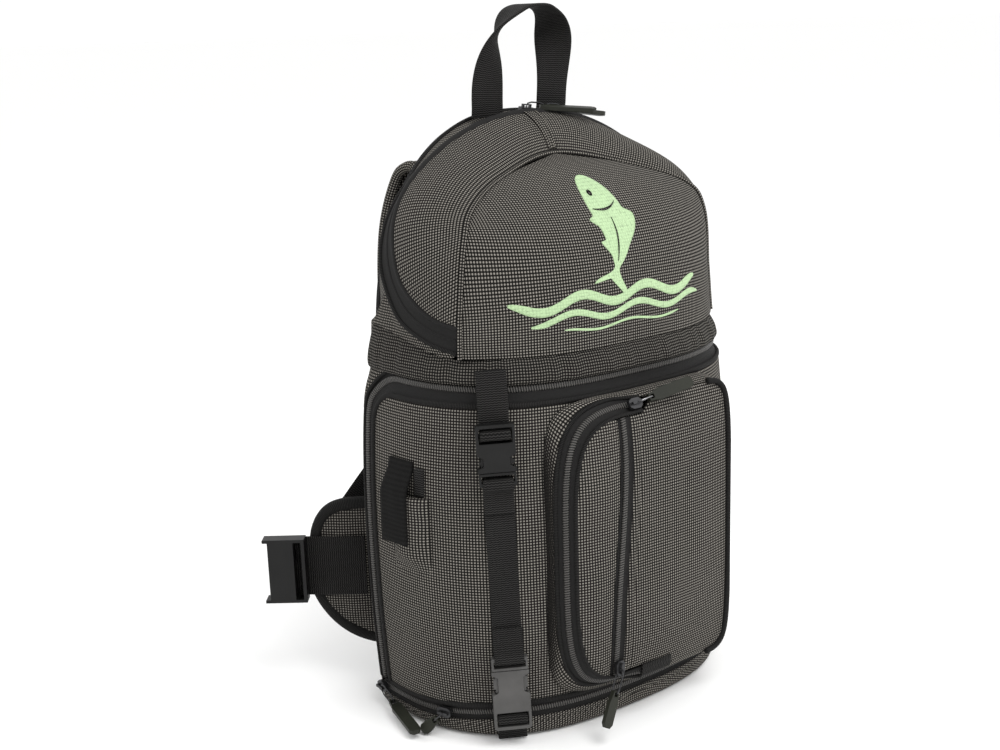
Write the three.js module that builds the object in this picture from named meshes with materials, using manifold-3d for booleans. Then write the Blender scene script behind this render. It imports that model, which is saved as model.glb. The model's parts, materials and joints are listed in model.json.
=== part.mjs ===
// A fishing backpack standing on its base, in millimetres, +Z up, its front facing -Y.
// The body is hollow cloth: a base tray, a C-shaped front flap closed by zips, a domed lid and a padded back.
import * as THREE from 'three';
import { mergeVertices } from 'three/addons/utils/BufferGeometryUtils.js';
import Module from 'manifold-3d';

const wasm = await Module();
wasm.setup();

// Sizes of the body.
const bag = {
  height: 462,
  halfWidth: 152,
  frontDepth: 136,
  rearLine: 45,
  cornerPower: 2.75,
  backDepth: 27,
  backHalfWidth: 120,
  rearPower: 2.2,
  wall: 3,
  cloth: 2.2,
  lidLean: 11,
};
const seam = 0.3;
const backFace = bag.rearLine + bag.backDepth;

// Heights of the seams round the body.
const level = {
  trayTop: 17,
  flapBottom: 30,
  footDrop: 7,
  flapTop: 262.5,
  zipTop: 281,
  collarFront: 294,
  collarRear: 309,
  lidStart: 300,
};

// Girth of the body by height, as a share of the bag's height: shares of its half width and front depth.
const girthRows = [
  { at: 0, width: 0.965, depth: 0.965 },
  { at: 0.037, width: 0.985, depth: 0.985 },
  { at: 0.065, width: 0.995, depth: 0.995 },
  { at: 0.2, width: 1.02, depth: 1.025 },
  { at: 0.4, width: 1.025, depth: 1.03 },
  { at: 0.556, width: 0.99, depth: 1 },
  { at: 0.597, width: 0.945, depth: 0.985 },
  { at: 0.65, width: 0.925, depth: 0.955 },
  { at: 0.72, width: 0.92, depth: 0.945 },
];

// The lid, from the front corner of one side (at 0) to the crown (at 1). Columns: out is a share of the half
// width, fore a share of the front depth ahead of the rear line, up a share of the height.
const panelEdgeRows = [
  { at: 0, out: 0.829, fore: 0.643, up: 0.6375 },
  { at: 0.25, out: 0.813, fore: 0.625, up: 0.714 },
  { at: 0.5, out: 0.78, fore: 0.603, up: 0.818 },
  { at: 0.7, out: 0.684, fore: 0.53, up: 0.866 },
  { at: 0.85, out: 0.408, fore: 0.368, up: 0.9 },
  { at: 1, out: 0, fore: 0.25, up: 0.926 },
];
const panelMiddleRows = [
  { at: 0, fore: 0.953, up: 0.6375 },
  { at: 0.25, fore: 0.944, up: 0.725 },
  { at: 0.5, fore: 0.86, up: 0.807 },
  { at: 0.7, fore: 0.69, up: 0.865 },
  { at: 0.85, fore: 0.485, up: 0.902 },
  { at: 1, fore: 0.25, up: 0.926 },
];
const zipFrontRows = [
  { at: 0, out: 0.829, fore: 0.625, up: 0.6865 },
  { at: 0.12, out: 0.882, fore: 0.493, up: 0.698 },
  { at: 0.24, out: 0.921, fore: 0.375, up: 0.721 },
  { at: 0.34, out: 0.938, fore: 0.265, up: 0.753 },
  { at: 0.45, out: 0.931, fore: 0.191, up: 0.797 },
  { at: 0.56, out: 0.895, fore: 0.132, up: 0.842 },
  { at: 0.66, out: 0.809, fore: 0.088, up: 0.885 },
  { at: 0.77, out: 0.658, fore: 0.051, up: 0.926 },
  { at: 0.87, out: 0.467, fore: 0.022, up: 0.961 },
  { at: 0.94, out: 0.25, fore: 0.007, up: 0.984 },
  { at: 1, out: 0, fore: 0, up: 0.992 },
];
const zipRearRows = [
  { at: 0, out: 0.832, fore: 0.622, up: 0.645 },
  { at: 0.12, out: 0.901, fore: 0.456, up: 0.66 },
  { at: 0.24, out: 0.938, fore: 0.265, up: 0.688 },
  { at: 0.34, out: 0.944, fore: 0.14, up: 0.732 },
  { at: 0.45, out: 0.928, fore: 0.051, up: 0.779 },
  { at: 0.56, out: 0.868, fore: -0.007, up: 0.831 },
  { at: 0.66, out: 0.77, fore: -0.044, up: 0.874 },
  { at: 0.77, out: 0.632, fore: -0.066, up: 0.913 },
  { at: 0.87, out: 0.447, fore: -0.081, up: 0.95 },
  { at: 0.94, out: 0.243, fore: -0.092, up: 0.973 },
  { at: 1, out: 0, fore: -0.096, up: 0.987 },
];
const gussetBulge = [
  { at: 0, rise: 0.5 },
  { at: 0.3, rise: 5 },
  { at: 0.66, rise: 9 },
  { at: 1, rise: 5 },
];
const backArch = { springs: 288, crown: 457.5, power: 2.4 };

// Zips: the coil stands up along the middle of its two tapes.
const zipTape = { thickness: 1.6, recess: 1.2, coilRise: 1.3 };
const zipRows = [
  { across: 0, rise: 0 },
  { across: 0.36, rise: 0 },
  { across: 0.5, rise: 1 },
  { across: 0.64, rise: 0 },
  { across: 1, rise: 0 },
];
const rearZipWidth = 15;

// The pocket on the front.
const pocket = {
  middle: -2.5,
  halfWidth: 84.5,
  bottom: 30.5,
  topGap: 0.5,
  frontInset: 4,
  stand: 13,
  belly: 9,
  bellyMiddle: 12,
  bellyHalfWidth: 92,
  zipStand: 2.5,
  zipEnd: -8,
  zipWidth: 9,
  baseCorner: 6,
  zipCorner: 4.2,
  plainCorner: 12,
  frontZipX: -33,
  frontZipSwing: 5,
  frontZipWidth: 12,
  cloth: 2.2,
  piping: 1.7,
};
pocket.fore = bag.frontDepth - bag.rearLine + pocket.stand;
pocket.zipFore = bag.frontDepth - bag.rearLine + pocket.zipStand;
pocket.top = level.flapTop - pocket.topGap;
pocket.mid = (pocket.top + pocket.bottom) / 2;
pocket.halfHeight = (pocket.top - pocket.bottom) / 2;

// Webbing and buckles.
const webbing = { width: 22, thickness: 1.6, clear: 0.5 };
const buckle = {
  width: 28,
  ladder: 16.5,
  upperBody: 19,
  lowerBody: 31,
  plug: 10,
  thickness: 7,
  rim: 2.8,
  bar: 3,
  notchDepth: 4.5,
  notchShare: 0.52,
  skin: 1.6,
};
const strap = {
  topX: -110.5,
  footX: -105.5,
  anchorTop: 291,
  upperTop: 253,
  middle: 140,
  lowerBottom: 15.5,
  end: 1.5,
  clear: 3.1,
};

const wing = {
  rootX: 119.7,
  rootY: 79.4,
  turn: 0.666,
  length: 63.5,
  middle: 96,
  half: 62,
  thickness: 12,
  webWidth: 50,
  webStart: 17,
  webEnd: 70.5,
};
const hipBuckle = { length: 34, height: 54, depth: 12, wall: 2.6, slot: 6, start: 64.5 };

const handle = {
  legX: 32,
  shift: 4,
  lean: 13,
  spread: 0.16,
  y: 61,
  rise: 539,
  width: 30,
  thickness: 2.4,
  foot: 0.6,
};

const shoulder = { width: 58, endWidth: 46, thickness: 9, webWidth: 22 };

const finish = {
  cloth: { color: 0x4a4743, roughness: 0.9, metalness: 0 },
  webbing: { color: 0x1c1c1e, roughness: 0.8, metalness: 0 },
  tape: { color: 0x202022, roughness: 0.75, metalness: 0 },
  plastic: { color: 0x18181a, roughness: 0.45, metalness: 0 },
  rubber: { color: 0x141415, roughness: 0.6, metalness: 0 },
  metal: { color: 0x3a3a3d, roughness: 0.4, metalness: 0.8 },
  mesh: { color: 0x262628, roughness: 0.95, metalness: 0 },
};

const group = new THREE.Group();
group.name = 'fishing_backpack';

function vec(x, y, z) {
  return new THREE.Vector3(x, y, z);
}

function mix(a, b, share) {
  return a + (b - a) * share;
}

function clamp01(value) {
  return Math.min(1, Math.max(0, value));
}

function smooth(from, to, value) {
  const share = clamp01((value - from) / (to - from));
  return share * share * (3 - 2 * share);
}

function signedPower(value, power) {
  return Math.sign(value) * Math.abs(value) ** power;
}

// Value of one column at a given share, on a smooth curve through the rows of a table.
function follow(rows, at, column) {
  let index = 0;
  while (index < rows.length - 2 && at > rows[index + 1].at) index += 1;
  const slope = (k) => {
    const low = rows[Math.max(0, k - 1)];
    const high = rows[Math.min(rows.length - 1, k + 1)];
    return (high[column] - low[column]) / (high.at - low.at);
  };
  const from = rows[index];
  const to = rows[index + 1];
  const span = to.at - from.at;
  const t = clamp01((at - from.at) / span);
  const start = (1 + 2 * t) * (1 - t) ** 2 * from[column] + t * (1 - t) ** 2 * span * slope(index);
  const end = t * t * (3 - 2 * t) * to[column] + t * t * (t - 1) * span * slope(index + 1);
  return start + end;
}

// A table that runs to the crown, carried on down the other side; side shares run from -1 to 1.
function bothSides(rows) {
  const left = rows.map((row) => ({ ...row, at: row.at - 1, out: -(row.out ?? 0) }));
  const right = rows.slice(0, -1).reverse().map((row) => ({ ...row, at: 1 - row.at }));
  return [...left, ...right];
}

function lidPoint(rows, at) {
  return vec(
    follow(rows, at, 'out') * bag.halfWidth,
    bag.rearLine - follow(rows, at, 'fore') * bag.frontDepth,
    follow(rows, at, 'up') * bag.height,
  );
}

// One quarter of the body's outline, as shares of its half width and depth, spaced evenly along its length.
const quarter = [];
for (let k = 0; k <= 400; k += 1) {
  const angle = (k / 400) * (Math.PI / 2);
  const out = Math.cos(angle) ** (2 / bag.cornerPower);
  const fore = Math.sin(angle) ** (2 / bag.cornerPower);
  const last = quarter[k - 1];
  const step = last ? Math.hypot((out - last.out) * bag.halfWidth, (fore - last.fore) * bag.frontDepth) : 0;
  quarter.push({ out, fore, run: (last ? last.run : 0) + step });
}
const halfRun = quarter[400].run;

function outlineShares(along) {
  const run = clamp01(1 - Math.abs(along)) * halfRun;
  let index = 1;
  while (index < 400 && quarter[index].run < run) index += 1;
  const low = quarter[index - 1];
  const high = quarter[index];
  const share = (run - low.run) / (high.run - low.run);
  const out = mix(low.out, high.out, share) * Math.sign(along || 1);
  return { out, fore: mix(low.fore, high.fore, share) };
}

// A point of the outer wall: along runs from -1 at the left rear line round the front to 1 at the right
// rear line, and a little past them towards the back; out is the distance off the wall.
function wall(along, z, out = 0) {
  const halfWidth = bag.halfWidth * follow(girthRows, z / bag.height, 'width');
  const depth = bag.frontDepth * follow(girthRows, z / bag.height, 'depth');
  if (Math.abs(along) > 1) {
    const side = Math.sign(along);
    const back = ((Math.abs(along) - 1) * halfRun) / bag.backDepth;
    const narrow = halfWidth - bag.backHalfWidth;
    const x = halfWidth - narrow * back ** bag.rearPower;
    const slope = (narrow * bag.rearPower * back ** (bag.rearPower - 1)) / bag.backDepth;
    const normal = vec(1, slope, 0).normalize();
    const y = bag.rearLine + back * bag.backDepth;
    return vec(side * (x + normal.x * out), y + normal.y * out, z);
  }
  const { out: across, fore } = outlineShares(along);
  const normal = vec(
    signedPower(across, bag.cornerPower - 1) / halfWidth,
    -(fore ** (bag.cornerPower - 1)) / depth,
    0,
  ).normalize();
  return vec(across * halfWidth + normal.x * out, bag.rearLine - fore * depth + normal.y * out, z);
}

// Share along the wall where it reaches a given x, on the side of that x.
function alongAt(x, z) {
  let low = 0;
  let high = 1;
  for (let k = 0; k < 40; k += 1) {
    const middle = (low + high) / 2;
    if (wall(middle, z).x < Math.abs(x)) low = middle;
    else high = middle;
  }
  return low * Math.sign(x);
}

// Direction from the cloth of the body to the hollow inside it.
function inward(p) {
  const across = signedPower(p.x / bag.halfWidth, bag.cornerPower - 1) / bag.halfWidth;
  const ahead = Math.max(0, bag.rearLine - p.y) / bag.frontDepth;
  const behind = Math.max(0, p.y - bag.rearLine) / bag.backDepth;
  const above = Math.max(0, p.z - level.lidStart) / (bag.height - level.lidStart);
  const y = behind ** 1.2 * 0.0105 - ahead ** (bag.cornerPower - 1) / bag.frontDepth;
  const z = above ** 1.4 * 0.0085;
  return vec(-across, -y, -z).normalize();
}

// Closed geometry from points and triangles: doubled points joined, empty triangles left out, faces outward.
function closed(points, faces) {
  const raw = new THREE.BufferGeometry();
  raw.setAttribute('position', new THREE.Float32BufferAttribute(points.flatMap((p) => [p.x, p.y, p.z]), 3));
  raw.setIndex(faces.flat());
  const joined = mergeVertices(raw, 1e-3);
  const index = joined.index.array;
  const kept = [];
  for (let k = 0; k < index.length; k += 3) {
    const [a, b, c] = [index[k], index[k + 1], index[k + 2]];
    if (a !== b && b !== c && c !== a) kept.push(a, b, c);
  }
  joined.setIndex(kept);
  return facingOut(joined);
}

function facingOut(geometry) {
  const position = geometry.attributes.position;
  const index = geometry.index.array;
  const corner = (k) => new THREE.Vector3().fromBufferAttribute(position, index[k]);
  let volume = 0;
  for (let k = 0; k < index.length; k += 3) {
    volume += corner(k).dot(corner(k + 1).cross(corner(k + 2)));
  }
  if (volume < 0) {
    geometry.setIndex(Array.from(index).reverse());
  }
  return geometry;
}

// Body between two facing grids of points (rows by columns), joined round their edges.
function slab(front, back, loop = false) {
  const rows = front.length;
  const columns = front[0].length;
  const points = [...front.flat(), ...back.flat()];
  const offset = rows * columns;
  const faces = [];
  const id = (i, j) => (i % rows) * columns + j;
  const quad = (a, b, c, d) => faces.push([a, b, c], [a, c, d]);
  const spans = loop ? rows : rows - 1;
  for (let i = 0; i < spans; i += 1) {
    for (let j = 0; j < columns - 1; j += 1) {
      quad(id(i, j), id(i + 1, j), id(i + 1, j + 1), id(i, j + 1));
      quad(offset + id(i, j), offset + id(i, j + 1), offset + id(i + 1, j + 1), offset + id(i + 1, j));
    }
    quad(id(i, 0), offset + id(i, 0), offset + id(i + 1, 0), id(i + 1, 0));
    const last = columns - 1;
    quad(id(i, last), id(i + 1, last), offset + id(i + 1, last), offset + id(i, last));
  }
  if (!loop) {
    for (let j = 0; j < columns - 1; j += 1) {
      quad(id(0, j), id(0, j + 1), offset + id(0, j + 1), offset + id(0, j));
      const end = rows - 1;
      quad(id(end, j), offset + id(end, j), offset + id(end, j + 1), id(end, j + 1));
    }
  }
  return closed(points, faces);
}

function grid(rows, columns, pointAt) {
  return Array.from({ length: rows + 1 }, (_, i) => (
    Array.from({ length: columns + 1 }, (__, j) => pointAt(i / rows, j / columns))));
}

// Cloth of even thickness under a surface, its depth taken along a field of inward directions.
function cloth(rows, columns, surface, thickness, field = inward) {
  const outer = grid(rows, columns, surface);
  const inner = outer.map((row) => row.map((p) => p.clone().addScaledVector(field(p), thickness)));
  return slab(outer, inner);
}

// A solid swept through stations, each with a centre and two axes, from a closed convex profile.
function sweep(stations, profile, loop = false) {
  const points = [];
  stations.forEach(({ at, side, up, scale = 1 }) => {
    profile.forEach(([a, b]) => {
      points.push(at.clone().addScaledVector(side, a * scale).addScaledVector(up, b * scale));
    });
  });
  const count = profile.length;
  const faces = [];
  const spans = loop ? stations.length : stations.length - 1;
  for (let i = 0; i < spans; i += 1) {
    const next = (i + 1) % stations.length;
    for (let j = 0; j < count; j += 1) {
      const side = (j + 1) % count;
      faces.push([i * count + j, i * count + side, next * count + side]);
      faces.push([i * count + j, next * count + side, next * count + j]);
    }
  }
  if (!loop) {
    const end = (stations.length - 1) * count;
    for (let j = 1; j < count - 1; j += 1) {
      faces.push([0, j + 1, j]);
      faces.push([end, end + j, end + j + 1]);
    }
  }
  return closed(points, faces);
}

function circle(radius, sides) {
  return Array.from({ length: sides }, (_, k) => {
    const angle = (k / sides) * 2 * Math.PI;
    return [Math.cos(angle) * radius, Math.sin(angle) * radius];
  });
}

// Round rod along a list of points.
function rod(path, radius, sides = 6, loop = false) {
  const stations = path.map((at, k) => {
    const before = loop ? path[(k + path.length - 1) % path.length] : path[Math.max(0, k - 1)];
    const after = loop ? path[(k + 1) % path.length] : path[Math.min(path.length - 1, k + 1)];
    const run = after.clone().sub(before).normalize();
    const helper = Math.abs(run.z) < 0.8 ? vec(0, 0, 1) : vec(0, 1, 0);
    const side = helper.clone().cross(run).normalize();
    return { at, side, up: run.clone().cross(side).normalize() };
  });
  return sweep(stations, circle(radius, sides), loop);
}

// Local frame: across, down its length and out of its face.
function frameAt(origin, across, along, out) {
  return new THREE.Matrix4().makeBasis(across, along, out).setPosition(origin);
}

// Flat band that follows a path of (length, height) pairs in a frame, its width lying across the frame.
function ribbon(matrix, path, width, thickness) {
  const rows = path.map(([along, out], k) => {
    const before = path[Math.max(0, k - 1)];
    const after = path[Math.min(path.length - 1, k + 1)];
    const run = vec(0, after[0] - before[0], after[1] - before[1]).normalize();
    const up = vec(0, -run.z, run.y);
    const stretch = thickness / 2;
    const centre = vec(0, along, out);
    return [-1, 1].map((side) => [-width / 2, width / 2].map((x) => (
      centre.clone().addScaledVector(up, side * stretch).setX(x).applyMatrix4(matrix))));
  });
  return slab(rows.map((row) => row[0]), rows.map((row) => row[1]));
}

// Plate from an outline in the frame's across and along axes, between two heights.
function plate(outline, from, to, holes = []) {
  const shape = new THREE.Shape(outline.map(([x, y]) => new THREE.Vector2(x, y)));
  holes.forEach((hole) => shape.holes.push(new THREE.Path(hole.map(([x, y]) => new THREE.Vector2(x, y)))));
  const geometry = new THREE.ExtrudeGeometry(shape, { depth: to - from, bevelEnabled: false });
  geometry.translate(0, 0, from);
  return geometry;
}

function toSolid(geometry) {
  const bare = geometry.clone();
  bare.deleteAttribute('normal');
  bare.deleteAttribute('uv');
  const joined = mergeVertices(bare, 1e-4);
  return new wasm.Manifold(new wasm.Mesh({
    numProp: 3,
    vertProperties: Float32Array.from(joined.attributes.position.array),
    triVerts: Uint32Array.from(joined.index.array),
  }));
}

function fromSolid(solid) {
  const mesh = solid.getMesh();
  const geometry = new THREE.BufferGeometry();
  const count = mesh.vertProperties.length / mesh.numProp;
  const position = new Float32Array(count * 3);
  for (let k = 0; k < count; k += 1) {
    const start = k * mesh.numProp;
    position.set(mesh.vertProperties.subarray(start, start + 3), k * 3);
  }
  geometry.setAttribute('position', new THREE.BufferAttribute(position, 3));
  geometry.setIndex(Array.from(mesh.triVerts));
  return geometry;
}

function box(x0, x1, y0, y1, z0, z1) {
  return toSolid(new THREE.BoxGeometry(x1 - x0, y1 - y0, z1 - z0)
    .translate((x0 + x1) / 2, (y0 + y1) / 2, (z0 + z1) / 2));
}

// The filled lid leans a little to the right of the bag; everything above its start goes with it.
function leaning(geometry) {
  const position = geometry.attributes.position;
  for (let k = 0; k < position.count; k += 1) {
    const share = clamp01((position.getZ(k) - level.lidStart) / (bag.height - level.lidStart));
    position.setX(k, position.getX(k) + bag.lidLean * share ** 1.3);
  }
  return geometry;
}

function add(name, geometry, look) {
  const bare = geometry.clone();
  bare.deleteAttribute('uv');
  bare.deleteAttribute('normal');
  leaning(bare);
  bare.computeVertexNormals();
  const mesh = new THREE.Mesh(bare, new THREE.MeshStandardMaterial(finish[look]));
  mesh.name = name;
  group.add(mesh);
}

function mirrored(geometry) {
  return facingOut(geometry.clone().scale(-1, 1, 1));
}

function addPair(name, geometry, look) {
  add(`${name}_left`, geometry, look);
  add(`${name}_right`, mirrored(geometry), look);
}

// Coil and tapes over a surface given by length and width shares.
function zipBand(rows, surface, field = inward) {
  const outer = Array.from({ length: rows + 1 }, (_, i) => zipRows.map(({ across, rise }) => {
    const p = surface(i / rows, across);
    return p.addScaledVector(field(p), zipTape.recess - rise * zipTape.coilRise);
  }));
  const inner = Array.from({ length: rows + 1 }, (_, i) => zipRows.map(({ across }) => {
    const p = surface(i / rows, across);
    return p.addScaledVector(field(p), zipTape.recess + zipTape.thickness);
  }));
  return slab(outer, inner);
}

// Base tray: a floor with a rounded edge and a low wall, closed round the back.
const pastRear = (y) => 1 + (y - bag.rearLine) / halfRun;
const rearGussetFront = bag.rearLine + rearZipWidth * 0.4;
const wallEnd = pastRear(rearGussetFront);

// The band at the foot of the flap comes down towards the sides.
function footDrop(along) {
  return level.footDrop * smooth(0.45, 0.85, Math.abs(along));
}

function ring(z, inset, share = 1, drop = 0) {
  const loop = [];
  for (let k = 0; k <= 32; k += 1) {
    const along = mix(-1, 1, k / 32);
    loop.push(wall(along, z - drop * footDrop(along), -inset));
  }
  const rearZ = z - drop * level.footDrop;
  for (const y of [0.4, 0.75]) loop.push(wall(pastRear(bag.rearLine + y * bag.backDepth), rearZ, -inset));
  for (let k = 0; k <= 4; k += 1) {
    loop.push(vec(mix(1, -1, k / 4) * (bag.backHalfWidth - inset), backFace - inset, rearZ));
  }
  for (const y of [0.75, 0.4]) loop.push(wall(-pastRear(bag.rearLine + y * bag.backDepth), rearZ, -inset));
  return loop.map((p) => vec(p.x * share, mix(-8, p.y, share), p.z));
}

function tray() {
  const { wall: thickness } = bag;
  const outer = [
    ring(0, 6, 0),
    ring(0, 6, 0.55),
    ring(0, 6),
    ring(1.8, 1.8),
    ring(6, 0),
    ring(level.trayTop, 0, 1, 1),
  ];
  const inner = [
    ring(thickness, 7, 0),
    ring(thickness, 7, 0.55),
    ring(thickness, 7),
    ring(thickness + 1.2, thickness + 1.4),
    ring(thickness + 4, thickness),
    ring(level.trayTop, thickness, 1, 1),
  ];
  const turn = (rows) => rows[0].map((_, i) => rows.map((row) => row[i]));
  return slab(turn(outer), turn(inner), true);
}
add('base_tray', tray(), 'cloth');

// Zip round the foot of the flap, the flap itself and the zip over it.
add('lower_zip', zipBand(32, (u, v) => {
  const along = mix(-wallEnd, wallEnd, u);
  return wall(along, mix(level.trayTop + 2 * seam, level.flapBottom - 2 * seam, v) - footDrop(along));
}), 'tape');

const flapEnd = 1 - (rearZipWidth * 0.6) / halfRun;
const edgeGap = seam / halfRun;
add('lower_flap', cloth(32, 5, (u, v) => {
  const along = mix(-flapEnd, flapEnd, u);
  return wall(along, mix(level.flapBottom - footDrop(along), level.flapTop, v));
}, bag.wall), 'cloth');

const rearZip = zipBand(6, (u, v) => (
  wall(-mix(flapEnd + edgeGap, wallEnd, v), mix(level.flapBottom - level.footDrop, level.flapTop, u))));
addPair('rear_zip', rearZip, 'tape');

add('mid_zip', zipBand(28, (u, v) => (
  wall(mix(-wallEnd, wallEnd, u), mix(level.flapTop + seam, level.zipTop, v)))), 'tape');

// Soft collar above the middle zip; it rises towards the rear.
function collarTop(along) {
  return mix(level.collarFront, level.collarRear, smooth(0.62, 1, Math.abs(along)));
}

const collarRoll = 2.6;
add('collar', cloth(28, 3, (u, v) => {
  const along = mix(-wallEnd, wallEnd, u);
  const z = mix(level.zipTop + seam, collarTop(along), v);
  return wall(along, z, collarRoll * Math.sin(Math.PI * v));
}, bag.cloth), 'cloth');

// Front panel of the lid, between its two side edges, closing to a point at the crown of its top edge.
const panelEdge = bothSides(panelEdgeRows);
const zipFront = bothSides(zipFrontRows);
const zipRear = bothSides(zipRearRows);

function panelPoint(across, up) {
  const edge = lidPoint(panelEdgeRows, up);
  const middle = lidPoint(panelMiddleRows.map((row) => ({ ...row, out: 0 })), up);
  const reach = Math.abs(across);
  const fall = mix(3.2, 2.4, up);
  return vec(across * edge.x, mix(middle.y, edge.y, reach ** fall), mix(middle.z, edge.z, reach ** 2));
}

add('lid_panel', cloth(12, 10, (u, v) => panelPoint(mix(-1, 1, u), mix(0.004, 1, v)), bag.cloth), 'cloth');

// Gusset of the lid between the front panel and the arched zip.
const gussetStart = 0.145;

function gussetPoint(at, across) {
  const rise = 1 - Math.abs(at);
  const edgeShare = mix(gussetStart, 1, rise ** 0.9);
  const front = lidPoint(panelEdge, Math.sign(at || 1) * (1 - edgeShare));
  const rear = lidPoint(zipFront, at);
  rear.z += 4 * seam * (1 - smooth(0, 0.1, rise));
  const toRear = rear.clone().sub(front);
  const width = toRear.length();
  const ahead = lidPoint(zipFront, at + 0.01).sub(lidPoint(zipFront, at - 0.01));
  const up = ahead.cross(toRear).normalize();
  if (up.dot(inward(front)) > 0) up.negate();
  const share = mix((2 * seam) / width, 1 - (3 * seam) / width, across);
  const lift = follow(gussetBulge, rise, 'rise') * 4 * share * (1 - share);
  return front.addScaledVector(toRear, share).addScaledVector(up, lift);
}

add('lid_gusset', cloth(36, 4, (u, v) => gussetPoint(mix(-0.995, 0.995, u), v), bag.cloth), 'cloth');

add('lid_zip', zipBand(40, (u, v) => {
  const at = mix(-1, 1, u);
  const front = lidPoint(zipFront, at);
  const rear = lidPoint(zipRear, at);
  const gap = seam / front.distanceTo(rear);
  return rear.lerp(front, mix(gap, 1 - gap, v));
}), 'tape');

// Side gores below the lower ends of the arched zip, down to the collar.
const goreFront = Math.abs(alongAt(bag.halfWidth * 0.832, level.collarFront + seam));
const goreSplit = 0.34;

function gorePoint(along, up) {
  const foot = mix(goreFront + 2 * edgeGap, wallEnd, along);
  const bottom = wall(-foot, collarTop(foot) + seam);
  const peak = lidPoint(zipRearRows, goreSplit);
  const split = 0.62;
  let top;
  if (along < split) {
    top = lidPoint(zipRearRows, mix(0.004, goreSplit, along / split));
    top.z -= 2 * seam;
  } else {
    top = peak.clone();
    top.z -= 2 * seam;
    const heel = wall(wallEnd, level.collarRear + 1.5);
    top.lerp(heel, (along - split) / (1 - split));
  }
  top.x = -top.x;
  return bottom.lerp(top, up);
}

addPair('side_gore', cloth(10, 2, gorePoint, bag.cloth), 'cloth');

// Rear gusset: up one side behind the zips, over the crown and down the other side.
function backEdge(share) {
  const angle = share * (Math.PI / 2);
  const power = 2 / backArch.power;
  const rise = backArch.crown - backArch.springs;
  return vec(
    bag.backHalfWidth * Math.cos(angle) ** power,
    backFace,
    backArch.springs + rise * Math.sin(angle) ** power,
  );
}

function evenly(curve, count) {
  const fine = Array.from({ length: 201 }, (_, k) => curve(k / 200));
  const runs = [0];
  for (let k = 1; k <= 200; k += 1) runs.push(runs[k - 1] + fine[k].distanceTo(fine[k - 1]));
  return Array.from({ length: count + 1 }, (_, k) => {
    const run = (runs[200] * k) / count;
    let index = 1;
    while (index < 200 && runs[index] < run) index += 1;
    const share = (run - runs[index - 1]) / (runs[index] - runs[index - 1]);
    return fine[index - 1].clone().lerp(fine[index], share);
  });
}

function rearGussetRows() {
  const rows = [];
  for (const share of [0, 0.15, 0.35, 0.6, 0.82, 0.89, 0.945, 1]) {
    const z = mix(level.trayTop - level.footDrop + 2 * seam, level.collarRear + 1, share);
    rows.push([wall(wallEnd + 2 * edgeGap, z), wall(pastRear(backFace), z)]);
  }
  const heel = rows[rows.length - 1];
  const zipSide = evenly((t) => lidPoint(zipRearRows, mix(goreSplit, 1, t)), 13);
  const backSide = evenly((t) => backEdge(mix(0.07, 1, t)), 14).slice(1);
  const peak = zipSide[0];
  rows.push([
    heel[0].clone().lerp(peak, 0.5).setY(mix(heel[0].y, peak.y, 0.5) + 1.4),
    heel[1].clone().lerp(backSide[0], 0.5),
  ]);
  zipSide.forEach((front, k) => {
    const back = backSide[k];
    const gap = 2 * seam / front.distanceTo(back);
    rows.push([front.clone().lerp(back, gap), back]);
  });
  return rows;
}

const gussetRows = rearGussetRows();
const gussetSpread = [0, 0.33, 0.67, 1];
const rearBow = 3;

function gussetRow([front, back], side) {
  return gussetSpread.map((share) => {
    const p = front.clone().lerp(back, share);
    const lift = rearBow * smooth(level.lidStart, level.lidStart + 40, p.z);
    const along = mix(wallEnd + 2 * edgeGap, pastRear(backFace), share);
    const onLid = p.z > level.lidStart;
    const q = onLid ? p.addScaledVector(inward(p), -lift * 4 * share * (1 - share)) : wall(along, p.z);
    return vec(side * q.x, q.y, q.z);
  });
}

function rearGusset() {
  const leftRows = gussetRows.map((row) => gussetRow(row, -1));
  const rightRows = gussetRows.slice(0, -1).reverse().map((row) => gussetRow(row, 1));
  const outer = [...leftRows, ...rightRows];
  const inner = outer.map((row) => row.map((p) => p.clone().addScaledVector(inward(p), bag.cloth)));
  return slab(outer, inner);
}
add('rear_gusset', rearGusset(), 'cloth');

// Padded back panel behind the gusset.
const backPanel = { bottom: 8, pad: 12, edgePad: 6, inset: 0.6, sideLevels: [90, 160, 230] };

function backPanelLoop() {
  const loop = [];
  const arch = evenly((t) => backEdge(t), 12);
  const rising = [backPanel.bottom, ...backPanel.sideLevels];
  for (const z of rising) loop.push(vec(bag.backHalfWidth, backFace, z));
  arch.slice(0, -1).forEach((p) => loop.push(p));
  arch.slice().reverse().forEach((p) => loop.push(vec(-p.x, p.y, p.z)));
  for (const z of rising.slice().reverse()) loop.push(vec(-bag.backHalfWidth, backFace, z));
  for (const x of [-0.5, 0, 0.5]) loop.push(vec(x * bag.backHalfWidth, backFace, backPanel.bottom));
  return loop;
}

function backPad() {
  const loop = backPanelLoop();
  const middle = vec(0, backFace, 225);
  const shares = [0, 0.5, 0.8, 0.94, 1];
  const place = (p, share, y) => {
    const edge = p.clone().sub(middle);
    edge.setLength(edge.length() - backPanel.inset).multiplyScalar(share).add(middle);
    return edge.setY(backFace + seam + y);
  };
  const pad = (share) => mix(backPanel.edgePad, backPanel.pad, Math.sqrt(1 - share ** 4));
  const rear = loop.map((p) => shares.map((share) => place(p, share, pad(share))));
  const front = loop.map((p) => shares.map((share) => place(p, share, 0)));
  return slab(rear, front, true);
}
add('back_panel', backPad(), 'mesh');

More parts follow.
